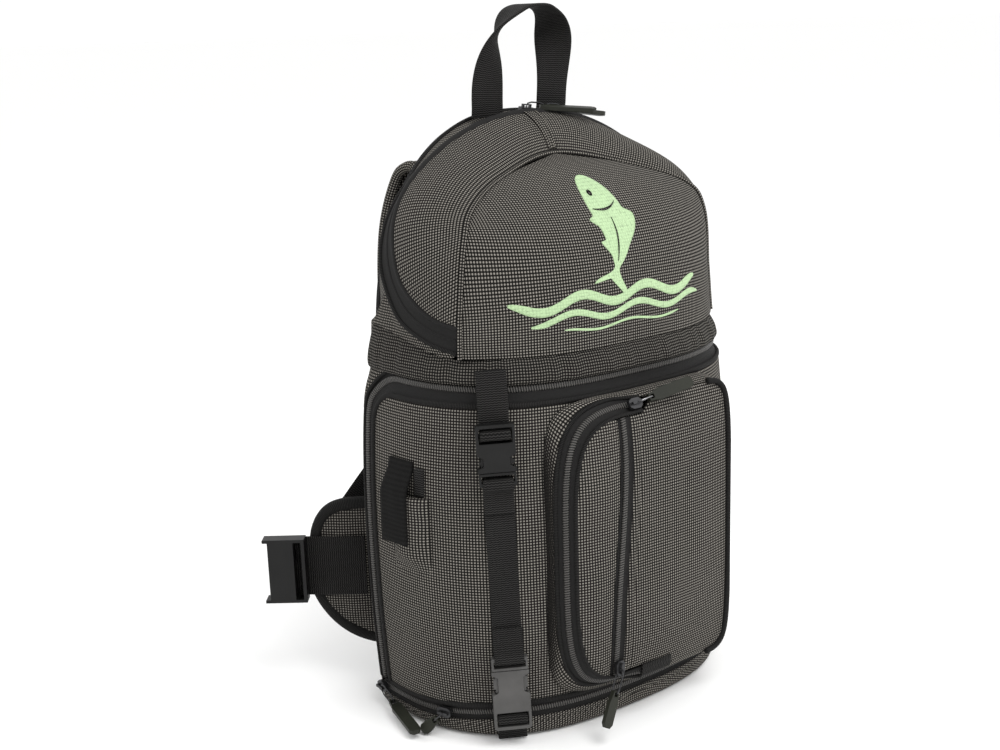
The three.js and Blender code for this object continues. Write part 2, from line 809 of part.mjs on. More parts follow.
// Double seam over the top of the lid.
const topSeam = { half: 0.009, rise: [0, 1, 0.25, 1, 0], thickness: 0.8, under: 0.5 };
add('lid_top_seam', (() => {
  const at = [-1, -0.6, 0, 0.6, 1];
  const place = (across, column, lift) => {
    const p = gussetPoint(at[column] * topSeam.half, mix(0.06, 0.97, across));
    return p.addScaledVector(inward(p), -lift);
  };
  const rows = Array.from({ length: 7 }, (_, i) => i / 6);
  const lifts = topSeam.rise.map((rise) => topSeam.under + topSeam.thickness + rise);
  const top = rows.map((share) => at.map((_, j) => place(share, j, lifts[j])));
  const under = rows.map((share) => at.map((_, j) => place(share, j, topSeam.under)));
  return slab(top, under);
})(), 'cloth');

// Pocket surfaces. The front swells in the middle; the left edge is cut back and closed by a curved zip.
function pocketFore(x, z) {
  const across = Math.abs((x - pocket.bellyMiddle) / pocket.bellyHalfWidth);
  const up = Math.abs((z - pocket.mid) / pocket.halfHeight);
  const swell = Math.max(0, 1 - across ** 2.6) * Math.max(0, 1 - up ** 4);
  return pocket.fore + pocket.belly * swell;
}

function pocketFace(x, z) {
  return vec(x, -pocketFore(x, z), z);
}

function pocketInward(p) {
  const x = signedPower((p.x - pocket.middle) / pocket.halfWidth, 5) / pocket.halfWidth;
  const z = signedPower((p.z - pocket.mid) / pocket.halfHeight, 5) / pocket.halfHeight;
  const deep = clamp01((-p.y - 78) / 32);
  return vec(-x, deep ** 3 * 0.022, -z).normalize();
}

// Loops round the pocket, by turn from 0 to 1, starting in the middle of the right side.
function pocketLoop(turn, inset, leftPower, rightPower) {
  const angle = turn * 2 * Math.PI;
  const power = Math.cos(angle) < 0 ? leftPower : rightPower;
  const start = Math.cos(angle) < 0 ? pocket.zipEnd : pocket.middle;
  const side = Math.cos(angle) < 0 ? -1 : 1;
  const reach = Math.abs(pocket.middle + side * pocket.halfWidth - start) - inset;
  const x = start + side * reach * Math.abs(Math.cos(angle)) ** (2 / power);
  const z = pocket.mid + (pocket.halfHeight - inset) * signedPower(Math.sin(angle), 2 / power);
  return { x, z };
}

function wallFore(x, z) {
  const depth = bag.frontDepth * follow(girthRows, z / bag.height, 'depth');
  const across = Math.abs(x) / (bag.halfWidth * follow(girthRows, z / bag.height, 'width'));
  return bag.rearLine - depth * (1 - across ** bag.cornerPower) ** (1 / bag.cornerPower);
}

// Turns round the pocket, spaced by length along its foot and closer where it bends.
function evenTurns(from, to, count) {
  const fine = Array.from({ length: 801 }, (_, k) => {
    const turn = mix(from, to, k / 800);
    return { turn, ...pocketLoop(turn, 0, pocket.baseCorner, pocket.baseCorner + 3) };
  });
  const runs = [0];
  let heading = null;
  for (let k = 1; k <= 800; k += 1) {
    const stepX = fine[k].x - fine[k - 1].x;
    const stepZ = fine[k].z - fine[k - 1].z;
    const next = Math.atan2(stepZ, stepX);
    const turned = next - (heading ?? next);
    const bend = Math.abs(Math.atan2(Math.sin(turned), Math.cos(turned)));
    heading = next;
    runs.push(runs[k - 1] + Math.hypot(stepX, stepZ) + bend * bendWeight);
  }
  return Array.from({ length: count + 1 }, (_, k) => {
    const run = (runs[800] * k) / count;
    let index = 1;
    while (index < 800 && runs[index] < run) index += 1;
    return fine[index].turn;
  });
}
const bendWeight = 24;
const leftTurns = evenTurns(0.2501, 0.7499, 32);
const rightTurns = evenTurns(-0.2499, 0.2499, 26);

// The gusset's outer edge stands at the zip on the left and at the front's own edge on the right.
function pocketRim(turn) {
  const { x, z } = pocketLoop(turn, pocket.frontInset, pocket.zipCorner, pocket.plainCorner);
  const share = smooth(pocket.zipEnd - 24, pocket.zipEnd + 6, x);
  return vec(x, -mix(pocket.zipFore, pocketFore(x, z), share), z);
}

// The foot of the gusset clears the flat facets of the rounded wall, most where the wall curves most.
function footGap(x) {
  return 0.8 + 0.7 * smooth(20, 85, Math.abs(x));
}

function pocketFoot(turn) {
  const { x, z } = pocketLoop(turn, 0, pocket.baseCorner, pocket.baseCorner + 3);
  return vec(x, wallFore(x, z) - footGap(x), z);
}

add('pocket_gusset', (() => {
  const outer = [...leftTurns, ...rightTurns].map((turn) => {
    const foot = pocketFoot(turn);
    const rim = pocketRim(turn);
    return [0, 0.5, 1].map((share) => foot.clone().lerp(rim, share));
  });
  const inner = outer.map((row) => row.map((p) => p.clone().addScaledVector(pocketInward(p), pocket.cloth)));
  return slab(outer, inner, true);
})(), 'cloth');

// Curved zip, from the top of the pocket round its left side to the bottom.
function curvedEdge(turn) {
  const inset = pocket.frontInset + pocket.zipWidth;
  const { x, z } = pocketLoop(turn, inset, pocket.zipCorner, pocket.plainCorner);
  return pocketFace(x, z);
}

add('pocket_curved_zip', zipBand(leftTurns.length - 1, (u, v) => {
  const turn = leftTurns[Math.round(u * (leftTurns.length - 1))];
  const rim = pocketRim(turn);
  const edge = curvedEdge(turn);
  const gap = (2 * seam) / rim.distanceTo(edge);
  return rim.lerp(edge, mix(gap, 1 - gap, v));
}, pocketInward), 'tape');

// Straight zip down the front and the two panels beside it.
const frontZipTop = pocket.top - pocket.frontInset - pocket.zipWidth - 2.6;
const frontZipBottom = pocket.bottom + pocket.frontInset + pocket.zipWidth + 2.6;

function frontZipX(z) {
  const share = (z - frontZipBottom) / (frontZipTop - frontZipBottom);
  return pocket.frontZipX + pocket.frontZipSwing * Math.sin((share - 0.5) * Math.PI * 1.15);
}

const halfZip = pocket.frontZipWidth / 2;
add('pocket_front_zip', zipBand(8, (u, v) => {
  const z = mix(frontZipBottom, frontZipTop, u);
  return pocketFace(frontZipX(z) + mix(-halfZip + seam, halfZip - seam, v), z);
}, pocketInward), 'tape');

const cornerTurns = leftTurns.filter((turn) => curvedEdge(turn).x < pocket.frontZipX - pocket.frontZipWidth);
add('pocket_corner_panel', cloth(cornerTurns.length - 1, 3, (u, v) => {
  const edge = curvedEdge(cornerTurns[Math.round(u * (cornerTurns.length - 1))]);
  const half = pocket.halfHeight - pocket.frontInset - pocket.zipWidth;
  const z = pocket.mid + ((edge.z - pocket.mid) * (frontZipTop - pocket.mid)) / half;
  const towards = pocketFace(frontZipX(z) - halfZip, z);
  const gap = seam / edge.distanceTo(towards);
  const p = edge.lerp(towards, mix(gap, 1, v));
  return pocketFace(p.x, p.z);
}, pocket.cloth, pocketInward), 'cloth');

// The front's columns stand on the rim's own turns; its right edge follows the rim.
const frontGap = pocket.frontInset + 3 * seam;
const rimTurns = [...rightTurns].reverse().filter((turn) => turn > 0.07);
const cornerLoops = rimTurns.map((turn) => pocketLoop(turn, frontGap, pocket.zipCorner, pocket.plainCorner));
const underZip = frontZipTop - pocket.mid;
const frontColumns = [
  ...[0, 0.45, 0.9].map((share) => ({
    x: mix(pocket.frontZipX + halfZip, pocket.zipEnd - 6, share),
    half: underZip,
  })),
  ...cornerLoops.map(({ x, z }) => ({
    x,
    half: mix(underZip, z - pocket.mid, smooth(pocket.zipEnd - 5, pocket.zipEnd + 12, x)),
  })),
];

function rightEdge(z) {
  const up = Math.abs(z - pocket.mid) / (pocket.halfHeight - frontGap);
  const reach = pocket.halfWidth - frontGap;
  return pocket.middle + reach * (1 - up ** pocket.plainCorner) ** (1 / pocket.plainCorner);
}

add('pocket_front', cloth(frontColumns.length - 1, 8, (u, v) => {
  const column = Math.round(u * (frontColumns.length - 1));
  const { x, half } = frontColumns[column];
  const z = pocket.mid + mix(-1, 1, v) * half;
  if (column === 0) return pocketFace(frontZipX(z) + halfZip, z);
  return pocketFace(column === frontColumns.length - 1 ? rightEdge(z) : x, z);
}, pocket.cloth, pocketInward), 'cloth');

// Piping down the right edge and along the bottom of the pocket.
const pipingFrom = 0.15;
const pipingTo = -0.235;
add('pocket_piping', rod(Array.from({ length: 27 }, (_, k) => {
  const angle = mix(pipingFrom, pipingTo, k / 26) * 2 * Math.PI;
  const rise = signedPower(Math.sin(angle), 0.7);
  const turn = Math.atan2(rise, signedPower(Math.cos(angle), 0.7)) / (2 * Math.PI);
  const p = pocketRim(turn);
  return p.addScaledVector(pocketInward(p), -(pocket.piping + 0.9));
}), pocket.piping), 'tape');

// Tab where the curved zip ends at the bottom, laid over the cloth.
add('pocket_zip_tab', (() => {
  const place = (u, v, lift) => {
    const x = mix(pocket.zipEnd - 6, pocket.zipEnd + 24, u);
    const z = mix(pocket.bottom + 7, pocket.bottom + 17, v);
    const p = pocketFace(x, z);
    return p.addScaledVector(pocketInward(p), -lift);
  };
  const top = grid(4, 2, (u, v) => place(u, v, 2.4));
  return slab(top, grid(4, 2, (u, v) => place(u, v, 0.7)));
})(), 'webbing');

// Slider with its bridge, in a frame whose long axis follows the zip.
const slider = { length: 12, width: 8, thickness: 3.2, bridge: 2.4 };

function sliderSolid() {
  const { length, width, thickness, bridge } = slider;
  const outline = [
    [-width / 2, -length * 0.25],
    [-width * 0.3, -length / 2],
    [width * 0.3, -length / 2],
    [width / 2, -length * 0.25],
    [width / 2, length * 0.3],
    [width * 0.25, length / 2],
    [-width * 0.25, length / 2],
    [-width / 2, length * 0.3],
  ];
  let body = toSolid(plate(outline, 0, thickness));
  const arch = box(-1, 1, -length * 0.36, length * 0.36, thickness - 0.5, thickness + bridge);
  const hole = box(-2, 2, -length * 0.22, length * 0.22, thickness, thickness + bridge - 1);
  body = body.add(arch).subtract(hole);
  return fromSolid(body);
}

// Rubber pull: a rounded bar with a thinner neck and an eye for its link.
const pull = { length: 34, width: 9, thickness: 3.6, link: 11 };
const smallEye = { at: 2.8, half: 1.5, wide: 1.6, loop: 3.6 };
const largeEye = { at: 3.8, half: 2.6, wide: 2.2, loop: 4.6 };

function pullSolid(length, eye) {
  const { width, thickness } = pull;
  const half = width / 2;
  const neck = eye.at + eye.half + 1.7;
  const side = [[0.6, 0], [0.8, neck], [1, neck + 3], [1, length - 3], [0.55, length]];
  const outline = [
    ...side.map(([share, along]) => [share * half, along]),
    ...side.reverse().map(([share, along]) => [-share * half, along]),
  ];
  const body = toSolid(plate(outline, -thickness / 2, thickness / 2));
  const { at, wide } = eye;
  return fromSolid(body.subtract(box(-wide, wide, at - eye.half, at + eye.half, -thickness, thickness)));
}

// Wire link: a loop from the slider's bridge to the eye of the pull.
function linkLoop(from, to, side, halfWidth) {
  const run = to.clone().sub(from);
  const middle = from.clone().add(to).multiplyScalar(0.5);
  const half = run.length() / 2;
  const axis = run.normalize();
  const points = [];
  for (let k = 0; k < 10; k += 1) {
    const angle = (k / 10) * 2 * Math.PI;
    const along = signedPower(Math.cos(angle), 0.6) * half;
    const across = signedPower(Math.sin(angle), 0.7) * halfWidth;
    points.push(middle.clone().addScaledVector(axis, along).addScaledVector(side, across));
  }
  return rod(points, 0.6, 4, true);
}

function unit(x, y, z) {
  return vec(x, y, z).normalize();
}

function rightHanded(matrix) {
  return matrix.determinant() < 0 ? matrix.multiply(new THREE.Matrix4().makeScale(-1, 1, 1)) : matrix;
}

// A slider on its zip with a link that hangs one way and a pull that lies along another.
function zipPull(prefix, at, place) {
  const { run, out, hang, lie = hang, above = out } = place;
  const { length = pull.length, link = pull.link, eye = smallEye } = place;
  const along = run.clone().normalize();
  const up = out.clone().addScaledVector(along, -out.dot(along)).normalize();
  const side = along.clone().cross(up).normalize();
  const base = at.clone().addScaledVector(up, 2 * seam);
  const seat = rightHanded(frameAt(base, side, along, up));
  const bridge = base.clone().addScaledVector(up, slider.thickness + slider.bridge - 1.9);
  const fall = hang.clone().normalize();
  const way = lie.clone().normalize();
  const flat = above.clone().addScaledVector(way, -above.dot(way)).normalize();
  const broad = way.clone().cross(flat).normalize();
  const hole = bridge.clone().addScaledVector(fall, link + eye.at);
  const loopSide = flat.clone().addScaledVector(fall, -flat.dot(fall)).normalize();
  const loop = linkLoop(bridge, hole, loopSide, eye.loop);
  const body = toSolid(facingOut(sliderSolid().applyMatrix4(seat))).add(toSolid(loop));
  add(`${prefix}_slider`, fromSolid(body), 'metal');
  const pullFrame = rightHanded(frameAt(hole.clone().addScaledVector(way, -eye.at), broad, way, flat));
  add(`${prefix}_pull`, facingOut(pullSolid(length, eye).applyMatrix4(pullFrame)), 'rubber');
}

// Pulls at the crown of the lid, lying to the right over the cloth.
function lidZipMiddle(at) {
  return lidPoint(zipFront, at).lerp(lidPoint(zipRear, at), 0.5);
}
const crownRun = lidZipMiddle(0.05).sub(lidZipMiddle(-0.01));
const lidPull = { run: crownRun, length: 46 };
zipPull('lid_left', lidZipMiddle(0.004), { ...lidPull, out: vec(0, -0.15, 1), hang: unit(1, -0.5, -0.1) });
zipPull('lid_right', lidZipMiddle(0.036), { ...lidPull, out: vec(0, 0.1, 1), hang: unit(1, -0.12, -0.15) });

// Pulls of the pocket: one at the start of the curved zip, one hanging at the foot of the front zip.
const curvedStart = pocketRim(leftTurns[0]).lerp(curvedEdge(leftTurns[0]), 0.5);
zipPull('pocket_top', curvedStart.clone().add(vec(-3, 0, 0)), {
  run: vec(1, 0, 0),
  out: vec(0, -0.8, 0.45),
  hang: unit(1, -0.12, 0.17),
  length: 40,
});
const footZip = pocketFace(frontZipX(frontZipBottom + 7), frontZipBottom + 7);
zipPull('pocket_foot', footZip, {
  run: vec(0, 0, 1),
  out: vec(0, -1, 0),
  hang: unit(-0.62, -0.22, -1),
  length: 28,
  link: 17,
});

// Pulls of the lower zip on the left: one lies down to the ground, one hangs over the tray.
const lowerZipMid = (level.trayTop + level.flapBottom) / 2;
const lowerRear = -1;
const lowerPullSpacing = 73;
zipPull('lower_rear', wall(lowerRear, lowerZipMid - footDrop(lowerRear)), {
  run: vec(0, 1, 0),
  out: vec(-1, 0, 0),
  hang: unit(-0.04, -0.85, -0.3),
  lie: unit(-0.2, -1, -0.07),
  above: vec(-0.1, 0, 1),
  eye: largeEye,
  length: 50,
  link: 17,
});
const lowerFront = lowerRear + lowerPullSpacing / halfRun;
zipPull('lower_front', wall(lowerFront, lowerZipMid - footDrop(lowerFront)), {
  run: wall(lowerFront + 0.02, lowerZipMid).sub(wall(lowerFront - 0.02, lowerZipMid)),
  out: wall(lowerFront, lowerZipMid, 1).sub(wall(lowerFront, lowerZipMid)),
  hang: unit(-0.36, 0.4, -0.52),
  length: 17,
  link: 6.5,
});

// Side-release buckle in its own frame: along runs from the top of the ladder to the end of the plug.
const slotHalf = webbing.width / 2 + 0.8;

function socketSolid(bodyLength) {
  const half = buckle.width / 2;
  const notch = half - buckle.notchDepth;
  const bodyEnd = buckle.ladder + bodyLength;
  const from = bodyEnd - 3 - buckle.notchShare * bodyLength;
  const to = bodyEnd - 3;
  const side = [
    [half - 1.5, 0],
    [half, 1.5],
    [half, from],
    [notch, from + 2],
    [notch, to - 2],
    [half, to],
    [half, bodyEnd],
  ];
  const outline = [...side, ...side.slice().reverse().map(([x, along]) => [-x, along])];
  const { rim, bar, ladder, thickness, skin } = buckle;
  let body = toSolid(plate(outline, 0, thickness));
  body = body.subtract(box(-slotHalf, slotHalf, rim, ladder - rim, -1, thickness + 1));
  const middle = ladder / 2;
  body = body.add(box(-slotHalf - 1, slotHalf + 1, middle - bar / 2, middle + bar / 2, 2, thickness - 1.8));
  body = body.subtract(box(-half + 2.2, half - 2.2, ladder + 3, bodyEnd + 1, skin, thickness - skin));
  return fromSolid(body);
}

function plugSolid(bodyLength) {
  const half = buckle.width / 2;
  const { plug, thickness, skin, bar, notchShare } = buckle;
  const start = buckle.ladder + bodyLength + seam;
  const end = start + plug;
  let body = box(-half + 0.6, half - 0.6, start, end, 0.4, thickness - 0.4);
  body = body.subtract(box(-slotHalf, slotHalf, start + 2.2, end - bar, -1, thickness + 1));
  const low = skin + 0.4;
  const high = thickness - skin - 0.4;
  body = body.add(box(-4, 4, start - 14, start + 1, low, high));
  const notch = notchShare * bodyLength;
  const prong = (inner, outer, from, to) => [-1, 1].forEach((side) => {
    const ends = [side * (half - inner), side * (half - outer)].sort((a, b) => a - b);
    body = body.add(box(ends[0], ends[1], from, to, low, high));
  });
  prong(5.6, 2.8, start - notch - 2, start + 1);
  prong(4, 1.2, start - notch + 1, start - 6);
  return fromSolid(body);
}

// Compression strap down the front left corner, a little aslant.
const strapTop = wall(alongAt(strap.topX, strap.anchorTop), strap.anchorTop);
const strapFoot = wall(alongAt(strap.footX, 0), 0);

function strapPlace(z) {
  const share = (strap.anchorTop - z) / strap.anchorTop;
  return wall(alongAt(mix(strap.topX, strap.footX, share), z), z);
}
const strapMiddle = alongAt(mix(strap.topX, strap.footX, 0.5), strap.middle);
const strapOut = wall(strapMiddle, strap.middle, 1).sub(wall(strapMiddle, strap.middle)).normalize();
const strapDown = strapFoot.clone().sub(strapTop);
strapDown.addScaledVector(strapOut, -strapDown.dot(strapOut)).normalize();
const strapAcross = strapDown.clone().cross(strapOut).normalize();

// Highest point of the wall, off a given point and along the strap's outward direction, over a patch.
function highest(from, zs, halfWidth) {
  const heights = zs.flatMap((z) => [-1, 0, 1].map((side) => {
    const along = alongAt(strapPlace(z).x, z) + (side * halfWidth) / halfRun;
    return wall(along, z).sub(from).dot(strapOut);
  }));
  return Math.max(...heights);
}

function strapFrame(z, up) {
  const base = strapTop.clone().addScaledVector(strapDown, (strap.anchorTop - z) / -strapDown.z);
  const way = up ? 1 : -1;
  const reach = [0, 15, 30, 45].map((step) => Math.max(1, z + way * step));
  const origin = base.addScaledVector(strapOut, highest(base, reach, buckle.width / 2) + strap.clear);
  return up
    ? frameAt(origin, strapAcross.clone().negate(), strapDown.clone().negate(), strapOut)
    : frameAt(origin, strapAcross, strapDown, strapOut);
}

// Height of the wall in a strap's frame, at a length along it.
function wallRise(matrix, along) {
  const at = vec(0, along, 0).applyMatrix4(matrix);
  const z = Math.min(Math.max(at.z, 0), strap.anchorTop);
  return highest(at, [z], webbing.width / 2);
}

const ladderMid = buckle.ladder / 2;
const face = buckle.thickness + 0.9;
const behind = -1.4;

// Webbing that comes up through the ladder, over its bar and back behind it.
function overBar(lead, tail) {
  const rise = [[buckle.rim - 0.2, behind], [buckle.rim + 1.1, -0.5], [ladderMid - 2.9, face - 2.4]];
  return [
    ...lead,
    ...rise,
    [ladderMid - 1.6, face],
    [ladderMid + 1.6, face],
    ...rise.reverse().map(([along, out]) => [buckle.ladder - along, out]),
    [buckle.ladder + tail, behind],
  ];
}

const upperFrame = strapFrame(strap.upperTop, false);
add('upper_buckle_socket', socketSolid(buckle.upperBody).applyMatrix4(upperFrame), 'plastic');
add('upper_buckle_plug', plugSolid(buckle.upperBody).applyMatrix4(upperFrame), 'plastic');

const lowerFrame = strapFrame(strap.lowerBottom, true);
add('lower_buckle_socket', socketSolid(buckle.lowerBody).applyMatrix4(lowerFrame), 'plastic');
add('lower_buckle_plug', plugSolid(buckle.lowerBody).applyMatrix4(lowerFrame), 'plastic');

const webLift = webbing.clear + webbing.thickness / 2 + 0.4;
const anchorReach = (strap.anchorTop - strap.upperTop) / -strapDown.z;
const anchorLead = [1, 0.7, 0.4, 0.15].map((share) => {
  const along = -anchorReach * share;
  return [along, Math.max(behind, wallRise(upperFrame, along) + webLift + (share > 0.5 ? 2 : 1))];
});
const anchorPath = overBar(anchorLead, 12);
add('strap_anchor', ribbon(upperFrame, anchorPath, webbing.width, webbing.thickness), 'webbing');

const tailReach = (strap.lowerBottom - strap.end) / -strapDown.z;
const tailPath = overBar([1, 0.6, 0.25].map((share) => (
  [-tailReach * share, Math.min(behind, wallRise(lowerFrame, -tailReach * share) + webLift + 0.6)])), 12);
add('strap_tail', ribbon(lowerFrame, tailPath, webbing.width, webbing.thickness), 'webbing');

// The middle length turns round the bar of each plug and is sewn back on itself.
function roundBar(matrix, bodyLength, length) {
  const bar = buckle.ladder + bodyLength + seam + buckle.plug - buckle.bar / 2;
  const front = buckle.thickness + 0.8;
  const lay = (along, lift) => [along, Math.max(behind, wallRise(matrix, along) + webLift) + lift];
  const fold = webbing.thickness + 0.6;
  return [
    lay(bar + length, fold),
    lay(bar + length * 0.6, fold),
    [bar + 6.4, front - 4.6],
    [bar + 3.2, front - 0.6],
    [bar + 0.6, front],
    [bar - 0.6, front],
    [bar - 2.2, front - 0.3],
    [bar - 3, front - 2.6],
    [bar - 3, 0.6],
    [bar - 2.2, behind + 0.3],
    [bar - 0.6, behind],
    [bar + 4, behind],
    lay(bar + length * 0.6, 0),
    lay(bar + length, 0),
  ];
}
const toUpper = new THREE.Matrix4().copy(upperFrame).invert().multiply(lowerFrame);
const upperTurn = roundBar(upperFrame, buckle.upperBody, 24);
const lowerTurn = roundBar(lowerFrame, buckle.lowerBody, 24).reverse().map(([along, out]) => {
  const p = vec(0, along, out).applyMatrix4(toUpper);
  return [p.y, p.z];
});
const between = [0.25, 0.5, 0.75].map((share) => {
  const along = mix(upperTurn[upperTurn.length - 1][0], lowerTurn[0][0], share);
  return [along, Math.max(behind, wallRise(upperFrame, along) + webLift)];
});
const middlePath = [...upperTurn, ...between, ...lowerTurn];
add('strap_middle', ribbon(upperFrame, middlePath, webbing.width, webbing.thickness), 'webbing');

// Tool holder on the left side: a fabric pocket, a webbing flap over its mouth and a loop above it.
// Columns of its pieces run round the bag from the middle of the holder: rear and front edge.
const toolHolder = { inset: 9, level: 150 };
const tool = {
  at: alongAt(toolHolder.inset - bag.halfWidth, toolHolder.level),
  pocketEdges: [-44, -8],
  flapEdges: [-47, -23],
  loopEdges: [-20.5, -12.5],
  bottom: 132,
  flapFoot: 155,
  mouth: 192,
  top: 217,
  clear: 0.5,
  bow: 6.5,
  swell: 15,
  thickness: 1.6,
  flapThickness: 2.4,
  loopThickness: 3.6,
};

function sidePatch([from, to], low, high, lift, thickness) {
  const place = (u, v, out) => {
    const z = mix(low, high, v);
    return wall(tool.at + mix(from, to, u) / halfRun, z, lift(u, z) + out);
  };
  return slab(
    grid(8, 6, (u, v) => place(u, v, thickness)),
    grid(8, 6, (u, v) => place(u, v, 0)),
  );
}
const { clear, bow, thickness: toolCloth } = tool;
const swellTop = tool.bottom + tool.swell;
const pocketLift = (u, z) => clear + bow * 4 * u * (1 - u) * smooth(tool.bottom, swellTop, z);
const flapLift = (u, z) => clear + (bow + toolCloth + 0.4) * (1 - smooth(tool.mouth + 1, tool.top - 2, z));
const loopFoot = tool.mouth + 2 * seam;
add('tool_pocket', sidePatch(tool.pocketEdges, tool.bottom, tool.mouth, pocketLift, toolCloth), 'cloth');
add('tool_flap', sidePatch(tool.flapEdges, tool.flapFoot, tool.top, flapLift, tool.flapThickness), 'webbing');
const loopTop = tool.top - 4;
add('tool_loop', sidePatch(tool.loopEdges, loopFoot, loopTop, () => clear, tool.loopThickness), 'webbing');

// Grab handle sewn over the crown behind the zip.
function crownZ(x) {
  const across = clamp01(Math.abs(x) / bag.backHalfWidth) ** backArch.power;
  return backArch.springs + (backArch.crown - backArch.springs) * (1 - across) ** (1 / backArch.power);
}

add('grab_handle', (() => {
  const { legX, shift, lean, spread, y, rise, width, thickness } = handle;
  const foot = crownZ(legX);
  const centre = (t) => {
    const angle = t * Math.PI;
    const reach = legX * (1 + spread * Math.sin(angle));
    const x = shift + lean * Math.sin(angle) ** 1.5 - reach * signedPower(Math.cos(angle), 0.75);
    return vec(x, y, foot + (rise - foot) * Math.sin(angle) ** 0.8);
  };
  const count = 24;
  const stations = Array.from({ length: count + 1 }, (_, k) => {
    const t = k / count;
    const at = centre(t);
    const run = centre(Math.min(1, t + 0.01)).sub(centre(Math.max(0, t - 0.01))).normalize();
    const twist = smooth(0.04, 0.42, t) * 0.5 + smooth(0.58, 0.96, t) * 0.5;
    const raw = vec(Math.cos(twist * Math.PI), Math.sin(twist * Math.PI), 0);
    const side = raw.addScaledVector(run, -raw.dot(run)).normalize();
    return { at, side, up: run.clone().cross(side).normalize() };
  });
  const rows = stations.map(({ at, side, up }, k) => [-1, 1].map((face) => [-0.5, 0, 0.5].map((share) => {
    const p = at.clone().addScaledVector(side, share * width).addScaledVector(up, (face * thickness) / 2);
    if (k === 0 || k === count) p.z = crownZ(p.x) + handle.foot;
    return p;
  })));
  return slab(rows.map((row) => row[0]), rows.map((row) => row[1]));
})(), 'webbing');

// Padded hip wings with a length of webbing and one half of the belt buckle each.
const wingRun = vec(-Math.cos(wing.turn), Math.sin(wing.turn), 0);
const wingOut = vec(-Math.sin(wing.turn), -Math.cos(wing.turn), 0);
const wingRoot = vec(-wing.rootX, wing.rootY, wing.middle);

function wingPoint(along, up, out) {
  return wingRoot.clone().addScaledVector(wingRun, along).addScaledVector(wingOut, out).add(vec(0, 0, up));
}

function wingSolid() {
  const top = (share) => wing.half * (1 - share ** 5) ** 0.4;
  const foot = (share) => -wing.half * (1 - 0.55 * share ** 2) * (1 - share ** 6) ** 0.4;
  const edge = (v) => 1 - Math.abs(2 * v - 1) ** 5 * 0.6;
  const pad = (share, v) => (wing.thickness / 2) * mix(1, 0.55, share ** 3) * edge(v);
  const place = (u, v, face) => {
    const share = u * 0.985;
    const up = mix(foot(share), top(share), v);
    return wingPoint(share * wing.length, up, face * pad(share, v));
  };
  return slab(grid(8, 6, (u, v) => place(u, v, 1)), grid(8, 6, (u, v) => place(u, v, -1)));
}
addPair('hip_wing', wingSolid(), 'cloth');

const webRise = 8;
function wingWeb() {
  const lift = (along) => wing.thickness / 2 + 0.6 - 2.2 * smooth(40, wing.length + 8, along);
  const place = (u, v, out) => {
    const along = mix(wing.webStart, wing.webEnd, u);
    return wingPoint(along, webRise + mix(-wing.webWidth / 2, wing.webWidth / 2, v), lift(along) + out);
  };
  return slab(grid(8, 2, (u, v) => place(u, v, 1.8)), grid(8, 2, (u, v) => place(u, v, 0)));
}
addPair('hip_webbing', wingWeb(), 'webbing');

// A flat box open at its far end, where the other half goes in, with a slot for the webbing at the near end.
function hipBuckleSolid() {
  const { length, height, depth, wall: skin, slot } = hipBuckle;
  const half = height / 2;
  const lip = half - skin;
  let body = box(0, length, -half, half, 0, depth);
  body = body.subtract(box(3, 3 + slot, -lip, lip, -1, depth + 1));
  body = body.subtract(box(3 + slot + skin, length + 1, -lip, lip, skin, depth - skin));
  body = body.subtract(box(length - 4, length + 1, -lip, lip, -1, depth + 1));
  return fromSolid(body);
}
const hipFrame = new THREE.Matrix4()
  .makeBasis(wingRun, vec(0, 0, -1), wingOut)
  .setPosition(wingPoint(hipBuckle.start, webRise, wing.thickness / 2 + 1.2));
addPair('hip_buckle', facingOut(hipBuckleSolid().applyMatrix4(hipFrame)), 'plastic');

// Padded shoulder straps that stand off the back, with webbing down to the hip wings.
const shoulderRows = [
  { at: 0, out: 45, back: 4.9, up: 396 },
  { at: 0.08, out: 46, back: 8, up: 410 },
  { at: 0.15, out: 48, back: 16, up: 417 },
  { at: 0.24, out: 52, back: 29, up: 407 },
  { at: 0.42, out: 58, back: 39, up: 362 },
  { at: 0.7, out: 59, back: 39, up: 284 },
  { at: 1, out: 62, back: 28, up: 216 },
];
const padFace = backFace + backPanel.pad;

function shoulderPoint(at) {
  return vec(
    -follow(shoulderRows, at, 'out'),
    padFace + follow(shoulderRows, at, 'back'),
    follow(shoulderRows, at, 'up'),
  );
}

function shoulderSolid() {
  const stations = Array.from({ length: 17 }, (_, k) => {
    const at = k / 16;
    const centre = shoulderPoint(at);
    const run = shoulderPoint(Math.min(1, at + 0.02)).sub(shoulderPoint(Math.max(0, at - 0.02))).normalize();
    const raw = vec(1, 0, 0);
    const side = raw.addScaledVector(run, -raw.dot(run)).normalize();
    const up = run.clone().cross(side).normalize();
    return { at: centre, side, up, width: mix(shoulder.width, shoulder.endWidth, at) };
  });
  const across = [-0.5, -0.4, 0, 0.4, 0.5];
  const rows = stations.map(({ at, side, up, width }) => [-1, 1].map((face) => across.map((share) => {
    const thick = (shoulder.thickness / 2) * (Math.abs(share) > 0.45 ? 0.45 : 1);
    return at.clone().addScaledVector(side, share * width).addScaledVector(up, face * thick);
  })));
  return slab(rows.map((row) => row[0]), rows.map((row) => row[1]));
}
addPair('shoulder_strap', shoulderSolid(), 'mesh');

// Webbing from each shoulder strap to the back of its hip wing.
const webEnd = wingPoint(29.5, 50, -wing.thickness / 2);
const webStart = shoulderPoint(1).add(vec(-2, -1, -9));

